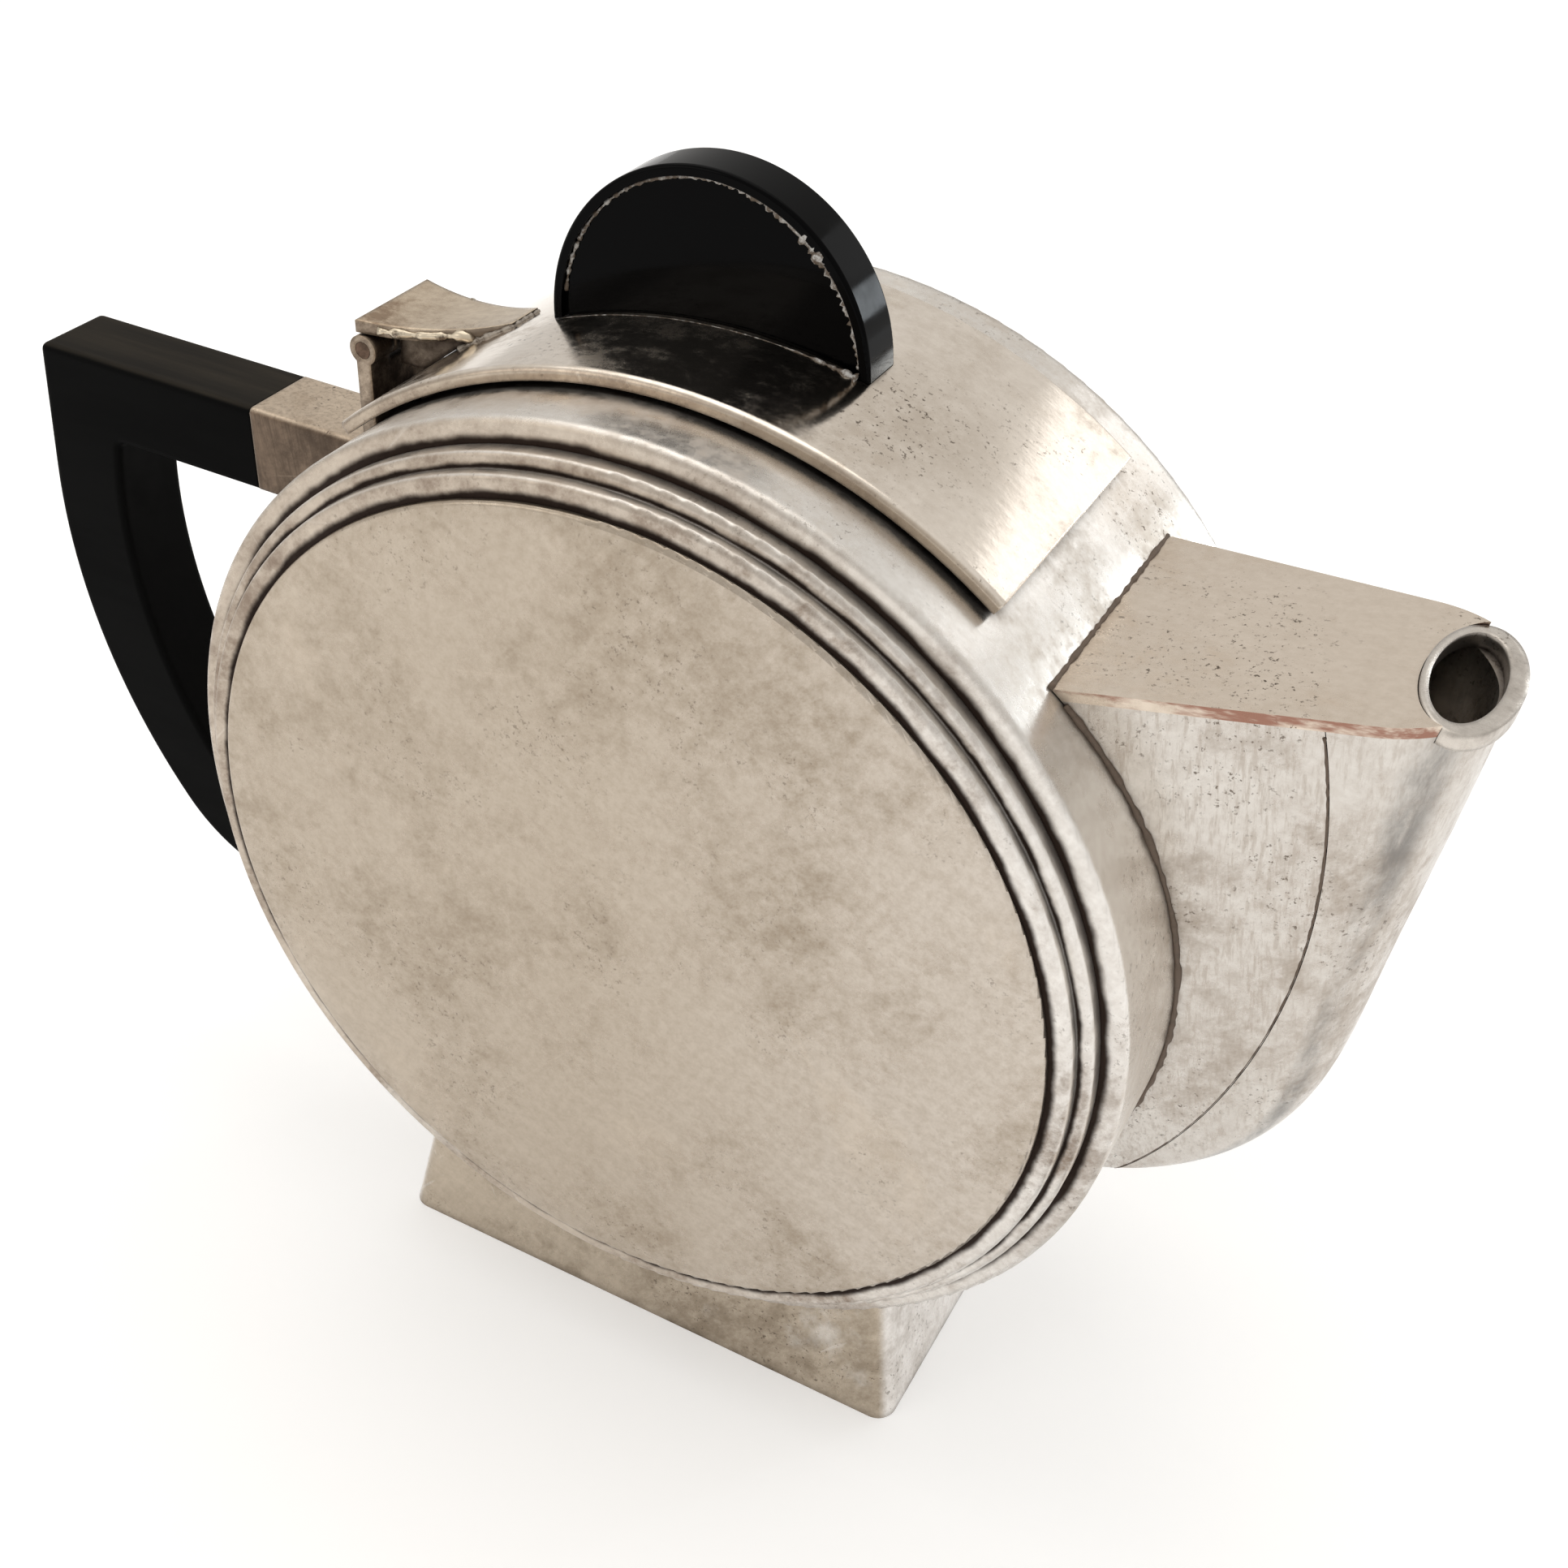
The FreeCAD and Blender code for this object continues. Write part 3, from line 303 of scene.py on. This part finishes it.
def base_colours(graph, colours, shaded_sides, painted_highlight):
    """The clean and stained colours, with darker colours on the faces that look along Y, as painted shade,
    and a paler colour towards the spout, as a painted highlight, mixed in.
    """
    clean, stained = colours
    if shaded_sides:
        # Painted shade: the faces that look along Y take the darker side colours.
        sideways = graph.sideways(0.5, 0.9)
        clean = graph.mix(sideways, clean, shaded_sides[0])
        stained = graph.mix(sideways, stained, shaded_sides[1])
    # Painted highlight: paler towards the spout.
    if painted_highlight:
        forward = graph.between(graph.part(graph.place, "X"), PAINTED_HIGHLIGHT_START, FACE_RADIUS)
        clean = graph.mix(forward, clean, painted_highlight)
    return clean, stained


def groove_tarnish_and_shade(graph):
    """Dark tarnish and painted shade on the ledges of the stepped rims, thickest in their inner corners."""
    flat = graph.add("ShaderNodeMapping")
    flat.inputs["Scale"].default_value = (1.0, 0.0, 1.0)
    flat.inputs["Location"].default_value = (0.0, 0.0, -AXIS_Z)
    graph.join(graph.place, flat.inputs["Vector"])
    length = graph.add("ShaderNodeVectorMath")
    length.operation = "LENGTH"
    graph.join(flat.outputs["Vector"], length.inputs[0])
    radius = length.outputs["Value"]
    wave = graph.between(graph.noise(*GROOVE_NOISE), 0.3, 0.7, -GROOVE_WAVE, GROOVE_WAVE)
    wavy = graph.math("ADD", radius, wave)
    dirt = 0.0
    for root, corner in LEDGES:
        full, gone = [root + (corner - root) * share for share in GROOVE_SHARES]
        begin = graph.between(radius, root - 0.12 * MM, root - 0.02 * MM)
        fade = graph.between(wavy, full, gone, 1.0, 0.0)
        dirt = graph.math("MAXIMUM", graph.math("MULTIPLY", begin, fade), dirt)
    return graph.math("MULTIPLY", dirt, graph.sideways(0.5, 0.85))


def patch(graph, blot):
    """1 in the middle of a dark patch, 0 outside it."""
    centre, radius = blot
    far = graph.add("ShaderNodeVectorMath")
    far.operation = "DISTANCE"
    graph.join(graph.place, far.inputs[0])
    far.inputs[1].default_value = centre
    return graph.between(far.outputs["Value"], radius * 0.2, radius, 1.0, 0.0)


def bare_copper(graph):
    """Where the silver is worn through, along the plate's edges."""
    edge = graph.between(graph.facing("Z"), 0.35, 0.75, 1.0, 0.0)
    worn = graph.between(graph.noise(*COPPER_NOISE), 0.44, 0.60)
    return graph.math("MULTIPLY", edge, worn)


def nose_streak(graph):
    """A cloudy grey streak down the two turns of the spout's nose, where its surface faces partly along X.
    """
    forward = graph.facing("X")
    begin = graph.between(forward, 0.38, 0.6)
    end = graph.between(forward, 0.66, 0.86, 1.0, 0.0)
    cloudy = graph.between(graph.noise(*STREAK_NOISE), 0.36, 0.62, 0.1, 0.85)
    return graph.math("MULTIPLY", graph.math("MULTIPLY", begin, end), cloudy)


def silver(name, colours, stain=0.9, smooth=0.2, specks=0.6, shaded_sides=None, reach=3.5, grain=0.25, brushed=0.0,
           copper=False, grooves=False, streak=False, blot=None, painted_highlight=None, soft=0.0):
    """Worn silver plate: clouds of tarnish, rubbed patches, fine scratches, specks, and dirt with painted
    shade in the corners and hollows.

    stain, specks, grain and brushed are strengths, and smooth is the clean metal's roughness. sides is the
    colour pair of the faces that look along Y, darker as painted shade, and bright a paler colour towards
    the spout as a painted highlight. blot is the centre and radius of a dark patch. reach is how far the
    dirt and painted shade spread from a corner, and soft how round the edges look, both in mm.
    """
    graph = Graph(name)
    if soft:
        graph.soften(soft * MM)
    polished = tuple(min(1.0, part * POLISH_GAIN) for part in colours[0])
    clean, stained = base_colours(graph, colours, shaded_sides, painted_highlight)

    fine = graph.noise(*FINE_NOISE)
    clouds = graph.between(graph.noise(*CLOUD_NOISE), 0.43, 0.60)
    clouds = graph.math("MULTIPLY", clouds, graph.between(fine, 0.32, 0.66, 0.1, 1.0))
    grit = graph.between(graph.noise(*GRIT_NOISE), 0.35, 0.7, 0.0, grain)
    tarnish = graph.math("MULTIPLY", graph.math("ADD", clouds, grit), stain)
    colour = graph.mix(tarnish, clean, stained)
    colour = graph.mix(graph.between(graph.noise(*RUB_NOISE), 0.58, 0.72, 0.0, 0.4), colour, polished)

    hairs = graph.math("ADD", graph.noise(*UPRIGHT_HAIRS), graph.noise(*LEVEL_HAIRS))
    colour = graph.mix(graph.between(hairs, 0.8, 1.2, 0.12, 0.0), colour, stained)
    if brushed:
        strokes = graph.between(graph.noise(*STROKE_NOISE), 0.46, 0.66, 0.0, brushed)
        colour = graph.mix(strokes, colour, stained)
    for turn in SCRATCH_TURNS:
        scratch = graph.between(graph.noise(*SCRATCH_NOISE, turn), 0.70, 0.76, 0.0, 0.14)
        colour = graph.mix(scratch, colour, polished)

    spread = graph.between(graph.noise(*SPREAD_NOISE), 0.46, 0.62, 0.04, specks)
    if blot:
        near = patch(graph, blot)
        dark = graph.math("MULTIPLY", near, graph.between(fine, 0.3, 0.65, 0.2, 0.8))
        colour = graph.mix(dark, colour, stained)
        spread = graph.math("MAXIMUM", spread, near)
    dots = graph.math("MULTIPLY", graph.between(graph.noise(*DOT_NOISE), 0.58, 0.68), spread)
    colour = graph.mix(dots, colour, SPECK)
    if copper:
        colour = graph.mix(bare_copper(graph), colour, COPPER)
    if streak:
        colour = graph.mix(nose_streak(graph), colour, STREAK)

    # Dirt and painted shade: darker deep in corners and hollows, out to reach from them.
    dirt = graph.math("MULTIPLY", graph.recess(reach * MM), graph.between(fine, 0.25, 0.6, 0.75, 1.0))
    if grooves:
        dirt = graph.math("MAXIMUM", dirt, groove_tarnish_and_shade(graph))
    colour = graph.mix(dirt, colour, CORNER_DIRT_AND_SHADE)
    dull = graph.between(clouds, 0.0, 0.8, smooth, smooth + 0.18)
    graph.bump(hairs, 0.12, 0.06 * MM)
    return graph.finish(colour, graph.math("ADD", dull, graph.math("MULTIPLY", dirt, 0.3)), 1.0)


def ebony():
    """Black wood with a fine grain, greyer on top where it is handled."""
    graph = Graph("ebony")
    graph.soften(EBONY_EDGE)
    grain = graph.noise(*EBONY_NOISE)
    top = graph.between(graph.facing("Z"), 0.55, 0.95)
    worn = graph.math("MULTIPLY", top, graph.between(grain, 0.25, 0.75, 0.35, 1.0))
    graph.bump(grain, 0.12, 0.1 * MM)
    graph.gloss(1.2, 0.08)
    return graph.finish(graph.mix(worn, EBONY, EBONY_WORN), graph.between(grain, 0.3, 0.7, 0.38, 0.55), 0.0)


def jet():
    """Polished black, slightly hazy."""
    graph = Graph("jet")
    haze = graph.noise(*HAZE_NOISE)
    graph.bump(graph.noise(*SKIN_NOISE), 0.05, 0.05 * MM)
    graph.gloss(1.25, 0.15)
    return graph.finish(JET, graph.between(haze, 0.35, 0.7, 0.06, 0.16), 0.0)


def crusty(name, colour, scale=1400.0, metallic=0.6, rough=0.6, bare=0.34):
    """Rough solder or dried polish, broken up by small pits."""
    graph = Graph(name)
    pits = graph.noise(scale, 4.0, 0.7)
    graph.bump(pits, 0.6, 0.2 * MM)
    return graph.finish(graph.mix(graph.between(pits, bare, bare + 0.2), SPECK, colour), rough, metallic)


def paint(material, *names):
    for name in names:
        mesh = nodes[name].data
        mesh.materials.clear()
        mesh.materials.append(material)


solder_metal = crusty("pitted_solder", SOLDER)
brown_crust = crusty("brown_crust", CRUST, scale=1100.0, metallic=0.3)
bright_lumps = crusty("bright_lumps", LUMP, scale=500.0, metallic=0.9, rough=0.28)
polish_residue = crusty("polish_residue", RESIDUE, scale=900.0, metallic=0.0, bare=0.44)

paint(silver("silver_faces", FACE, stain=0.6, smooth=0.25, specks=0.5, grain=0.6, painted_highlight=FACE_PAINTED_HIGHLIGHT),
      "front_face", "rear_face")
paint(silver("silver_rims", RIM, smooth=0.34, specks=0.4, shaded_sides=RIM_SHADED_SIDE, reach=1.4, grooves=True,
             painted_highlight=RIM_PAINTED_HIGHLIGHT, soft=0.45),
      "front_moulding", "rear_moulding")
paint(silver("silver_band", RIM, stain=0.7, smooth=0.25, specks=0.5, shaded_sides=RIM_SHADED_SIDE, reach=4.0,
             grooves=True, blot=BAND_STAIN, painted_highlight=RIM_PAINTED_HIGHLIGHT, soft=1.4),
      "body_band")
paint(silver("silver_lid", LID, stain=0.8, smooth=0.12, specks=0.9, shaded_sides=LID_SHADED_SIDE, blot=LID_STAIN,
             soft=0.5),
      "lid", "lid_bezel")
paint(silver("silver_spout", SPOUT, stain=0.85, smooth=0.22, specks=0.9, brushed=0.55),
      "spout_shell", "spout_strainer")
paint(silver("silver_nose", SPOUT, stain=0.85, smooth=0.22, specks=0.7, reach=12.0, brushed=0.4,
             streak=True),
      "spout_nose")
paint(silver("silver_spout_top", PLATE, stain=0.8, smooth=0.22, specks=1.0, copper=True),
      "spout_top_plate")
paint(silver("silver_lip", LIP, smooth=0.24, specks=0.8, reach=14.0, soft=0.9),
      "spout_lip")
paint(silver("silver_foot", FOOT, stain=0.75, smooth=0.25, specks=0.9, shaded_sides=FOOT_SHADED_SIDE),
      "foot", "foot_plate")
paint(silver("silver_sockets", SOCKET, stain=0.8, smooth=0.32, specks=1.0, shaded_sides=SOCKET_SHADED_SIDE, brushed=0.6,
             soft=0.6),
      "upper_socket", "lower_socket")
paint(silver("silver_hinge", HINGE, stain=1.0, smooth=0.22, specks=1.0, shaded_sides=HINGE_SHADED_SIDE, reach=9.0,
             soft=0.9),
      "hinge_bracket", "hinge_leaf", "knob_studs", "knob_nuts", "knob_washers")
paint(silver("brown_pins", PIN, smooth=0.4, specks=1.0),
      "hinge_pin", "handle_pins")
paint(ebony(), "handle")
paint(jet(), "lid_knob")


# Extra pieces

def bead(name, points, thickness, material, carrier, closed=False, swell=None):
    """A lumpy bead along some points. Its radius is drawn between two limits, times swell at a point."""
    count = len(points)
    vertices = []
    for number, point in enumerate(points):
        before = points[number - 1] if closed or number else point
        after = points[(number + 1) % count] if closed or number + 1 < count else point
        along = (after - before).normalized()
        across = along.cross(Vector((0, 0, 1)) if abs(along.z) < 0.9 else Vector((1, 0, 0))).normalized()
        upward = across.cross(along)
        radius = lumps.uniform(*thickness) * (swell[number] if swell else 1.0)
        for side in range(BEAD_SIDES):
            angle = 2 * math.pi * side / BEAD_SIDES
            vertices.append(point + (across * math.cos(angle) + upward * math.sin(angle)) * radius)
    faces = []
    for number in range(count if closed else count - 1):
        ring = number * BEAD_SIDES
        following = ((number + 1) % count) * BEAD_SIDES
        for side in range(BEAD_SIDES):
            turned = (side + 1) % BEAD_SIDES
            faces.append((ring + side, ring + turned, following + turned, following + side))
    if not closed:
        faces.append(tuple(range(BEAD_SIDES))[::-1])
        faces.append(tuple(range((count - 1) * BEAD_SIDES, count * BEAD_SIDES)))
    mesh = bpy.data.meshes.new(name)
    mesh.from_pydata([tuple(vertex) for vertex in vertices], [], faces)
    mesh.shade_smooth()
    mesh.materials.append(material)
    piece = bpy.data.objects.new(name, mesh)
    bpy.context.scene.collection.objects.link(piece)
    body, slot = carrier
    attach(piece, body)


def spaced(points, step):
    """Points at even steps along a line of straight runs."""
    line = [points[0]]
    for first, last in zip(points, points[1:]):
        pieces = max(1, round((last - first).length / step))
        line += [first.lerp(last, number / pieces) for number in range(1, pieces + 1)]
    return line


def on_band(y, z, end):
    """The point of the band's surface at a height, towards the spout (1) or the handle (-1)."""
    return Vector((end * math.sqrt(BAND_RADIUS ** 2 - (z - AXIS_Z) ** 2), y, z))


def on_lid(x, y):
    return Vector((x, y, AXIS_Z + math.sqrt(LID_RADIUS ** 2 - x ** 2)))


def axis_distance(point):
    return math.hypot(point.x, point.z - AXIS_Z)


def root_points(name):
    """A node's vertices that lie on the band."""
    points = [vertex.co.copy() for vertex in nodes[name].data.vertices]
    nearest = min(axis_distance(point) for point in points if point.x > 0)
    return [point for point in points if axis_distance(point) < nearest + ROOT_NEAR]


def mesh_tree(*names):
    """A search tree over the faces of some nodes."""
    corners = []
    faces = []
    for name in names:
        mesh = nodes[name].data
        first = len(corners)
        corners += [vertex.co.copy() for vertex in mesh.vertices]
        faces += [[first + corner for corner in face.vertices] for face in mesh.polygons]
    return BVHTree.FromPolygons(corners, faces)


def side_line(tree, sign, reach_at, step):
    """Points down one side of the spout, on its outside, where reach_at gives the line's X at a height."""
    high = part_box("spout_shell")[1]
    line = []
    for number in range(int((high.z - AXIS_Z + BAND_RADIUS) / step)):
        z = high.z - number * step
        outside = Vector((reach_at(z), sign * high.y * 2, z))
        point = tree.ray_cast(outside, Vector((0, -sign, 0)))[0]
        if point and point.y * sign > SPOUT_MIDDLE:
            line.append(point)
    return line


def root_reach(z):
    """X of the spout's root, just outside the band."""
    return on_band(0.0, z, 1).x + ROOT_OUTSET


def seam_reach(z):
    """X of the spout's seam, which is a large circle seen from the side, just inside the shell's edge."""
    rise = z - AXIS_Z - SEAM_ABOVE
    return BAND_RADIUS + SEAM_REACH - SEAM_RADIUS + math.sqrt(SEAM_RADIUS ** 2 - rise ** 2) - SEAM_INSET


def spout_solder():
    """Brown solder round the spout's root, where it meets the band."""
    tree = mesh_tree("spout_shell", "spout_nose")
    front, rear = [side_line(tree, sign, root_reach, 1.0 * MM) for sign, side in SIDES]
    bead("spout_side_solder", spaced(front + rear[::-1], 1.0 * MM), ROOT_BEAD, brown_crust, ON_POT)
    plate = root_points("spout_top_plate")
    top = max(point.z for point in plate)
    reach = max(point.y for point in plate)
    line = spaced([on_band(-reach, top, 1), on_band(reach, top, 1)], 0.8 * MM)
    bead("spout_top_solder", line, TOP_BEAD, brown_crust, ON_POT)


def socket_solder(name):
    """A thin ring of solder round a handle socket's foot."""
    low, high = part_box(name)
    levels = [low.z + (high.z - low.z) * number / 8 for number in range(9)]
    ring = [on_band(low.y, z, -1) for z in levels] + [on_band(high.y, z, -1) for z in levels[::-1]]
    line = spaced(ring + ring[:1], 1.0 * MM)[:-1]
    bead(name + "_solder", line, SOCKET_BEAD, solder_metal, ON_POT, closed=True)


def leaf_solder():
    """Rough solder along the tip of the hinge leaf, where it lies on the lid."""
    tip_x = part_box("hinge_leaf")[1].x
    start_x = tip_x - LEAF_SOLDER_LENGTH
    start_y = LEAF_TIP + LEAF_FLARE
    corners = [(start_x, -start_y), (tip_x, -LEAF_TIP), (tip_x, LEAF_TIP), (start_x, start_y)]
    flat = spaced([Vector((x, y, 0.0)) for x, y in corners], 0.5 * MM)
    line = [on_lid(place.x, place.y) for place in flat]
    bead("hinge_leaf_solder", line, LEAF_BEAD, solder_metal, ON_LEAF)


def seam_dirt():
    """Brown dirt in the curved seam between the spout's shell and nose, thinning out towards the bottom."""
    tree = mesh_tree("spout_shell")
    for sign, side in SIDES:
        line = side_line(tree, sign, seam_reach, 0.8 * MM)
        swell = [max(0.3, 1.0 - number / len(line)) for number in range(len(line))]
        bead("spout_seam_" + side, line, SEAM_BEAD, brown_crust, ON_POT, swell=swell)


def leaf_lumps():
    """Bright lumps of old solder along the hinge leaf's two side edges."""
    low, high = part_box("hinge_leaf")
    rows = {}
    for vertex in nodes["hinge_leaf"].data.vertices:
        if low.x + LUMP_MARGIN < vertex.co.x < high.x - LUMP_MARGIN:
            rows.setdefault(round(vertex.co.x / LUMP_ROW), []).append(vertex.co)
    for sign, side in SIDES:
        edge = []
        for level in sorted(rows):
            widest = max(point.y * sign for point in rows[level])
            outer = [point for point in rows[level] if point.y * sign > widest - LUMP_EDGE]
            edge.append(sum(outer, Vector()) / len(outer))
        bead("hinge_leaf_lumps_" + side, spaced(edge, 0.7 * MM), LUMP_BEAD, bright_lumps, ON_LEAF)


def knob_residue():
    """Pale polish left along the inside of the knob's rim and along its foot, on both faces."""
    radius = (knob_high.x - knob_low.x) / 2
    centre = Vector(((knob_low.x + knob_high.x) / 2, 0.0, knob_high.z - radius))
    inner = radius - KNOB_RIM_WIDTH
    floor = knob_high.y - KNOB_RIM_DEPTH
    degrees = [6 + 168 * number / 170 for number in range(171)]
    angles = [math.radians(angle) for angle in degrees]
    rim_swell = [0.7 + 1.5 * math.exp(-((angle - 45) / 30) ** 2) for angle in degrees]
    places = [knob_low.x + KNOB_RIM_WIDTH + 2 * inner * number / 120 for number in range(121)]
    foot_swell = [0.35 + 4.0 * (number / 120) ** 9 for number in range(121)]
    for sign, side in SIDES:
        arc = [centre + Vector((inner * math.cos(angle), sign * floor, inner * math.sin(angle)))
               for angle in angles]
        bead("knob_residue_" + side, arc, RIM_BEAD, polish_residue, ON_KNOB, swell=rim_swell)
        foot = [on_lid(x, sign * knob_high.y) for x in places]
        bead("knob_foot_residue_" + side, foot, KNOB_FOOT_BEAD, polish_residue, ON_KNOB, swell=foot_swell)


lumps = random.Random(BEAD_SEED)
spout_solder()
socket_solder("upper_socket")
socket_solder("lower_socket")
leaf_solder()
seam_dirt()
leaf_lumps()
knob_residue()


# Stage, light and camera

def switch_by_ray(tree, others, seen):
    """One shader for camera, mirror and glass rays, another for the rest."""
    path = tree.nodes.new("ShaderNodeLightPath")
    total = path.outputs["Is Camera Ray"]
    for kind in ("Is Glossy Ray", "Is Transmission Ray"):
        either = tree.nodes.new("ShaderNodeMath")
        either.operation = "MAXIMUM"
        tree.links.new(total, either.inputs[0])
        tree.links.new(path.outputs[kind], either.inputs[1])
        total = either.outputs["Value"]
    switch = tree.nodes.new("ShaderNodeMixShader")
    tree.links.new(total, switch.inputs["Fac"])
    tree.links.new(others, switch.inputs[1])
    tree.links.new(seen, switch.inputs[2])
    return switch.outputs["Shader"]


def add_floor():
    """A pale floor that keeps the shadow, lifted to white where it is seen."""
    bpy.ops.mesh.primitive_plane_add(size=FLOOR_SIZE)
    floor = bpy.context.object
    floor.name = "floor"
    material = bpy.data.materials.new("pale_floor")
    material.use_nodes = True
    tree = material.node_tree
    tree.nodes.clear()
    paper = tree.nodes.new("ShaderNodeBsdfDiffuse")
    paper.inputs["Color"].default_value = (*PAPER, 1.0)
    lift = tree.nodes.new("ShaderNodeEmission")
    lift.inputs["Strength"].default_value = FLOOR_LIFT
    seen = tree.nodes.new("ShaderNodeAddShader")
    tree.links.new(paper.outputs["BSDF"], seen.inputs[0])
    tree.links.new(lift.outputs["Emission"], seen.inputs[1])
    output = tree.nodes.new("ShaderNodeOutputMaterial")
    surface = switch_by_ray(tree, paper.outputs["BSDF"], seen.outputs["Shader"])
    tree.links.new(surface, output.inputs["Surface"])
    floor.data.materials.append(material)


def add_world():
    """A soft warm room, lighter overhead."""
    world = bpy.data.worlds.new("room")
    bpy.context.scene.world = world
    world.use_nodes = True
    tree = world.node_tree
    tree.nodes.clear()
    place = tree.nodes.new("ShaderNodeTexCoord")
    split = tree.nodes.new("ShaderNodeSeparateXYZ")
    tree.links.new(place.outputs["Generated"], split.inputs["Vector"])
    ramp = tree.nodes.new("ShaderNodeValToRGB")
    stops = ramp.color_ramp.elements
    for number, (height, colour) in enumerate(ROOM):
        stop = stops[number] if number < 2 else stops.new(height)
        stop.position = height
        stop.color = (*colour, 1.0)
    tree.links.new(split.outputs["Z"], ramp.inputs["Fac"])
    room = tree.nodes.new("ShaderNodeBackground")
    tree.links.new(ramp.outputs["Color"], room.inputs["Color"])
    output = tree.nodes.new("ShaderNodeOutputWorld")
    tree.links.new(room.outputs["Background"], output.inputs["Surface"])


def add_lamp(name, place, size, power, colour):
    """A soft rectangular lamp that looks at the middle of the drum."""
    light = bpy.data.lights.new(name, "AREA")
    light.shape = "RECTANGLE"
    light.size, light.size_y = size
    light.energy = power
    light.color = colour
    lamp = bpy.data.objects.new(name, light)
    bpy.context.scene.collection.objects.link(lamp)
    lamp.location = place
    middle = Vector((0.0, 0.0, AXIS_Z))
    lamp.rotation_euler = (middle - Vector(place)).to_track_quat("-Z", "Y").to_euler()


def add_camera():
    """The photo's view, worked out from its rim ellipses and straight edges."""
    forward = (CAMERA_TARGET - CAMERA_PLACE).normalized()
    level = forward.cross(Vector((0, 0, 1))).normalized()
    upright = level.cross(forward)
    right = level * math.cos(CAMERA_ROLL) + upright * math.sin(CAMERA_ROLL)
    up = upright * math.cos(CAMERA_ROLL) - level * math.sin(CAMERA_ROLL)
    camera = bpy.data.objects.new("camera", bpy.data.cameras.new("camera"))
    bpy.context.scene.collection.objects.link(camera)
    camera.data.lens = CAMERA_LENS
    camera.data.sensor_width = CAMERA_SENSOR
    camera.data.clip_start = CAMERA_NEAR
    turned = Matrix((right, up, -forward)).transposed().to_4x4()
    camera.matrix_world = Matrix.Translation(CAMERA_PLACE) @ turned
    bpy.context.scene.camera = camera


add_floor()
add_world()
for lamp_values in LAMPS:
    add_lamp(*lamp_values)
add_camera()
bpy.context.scene.view_settings.view_transform = "Standard"
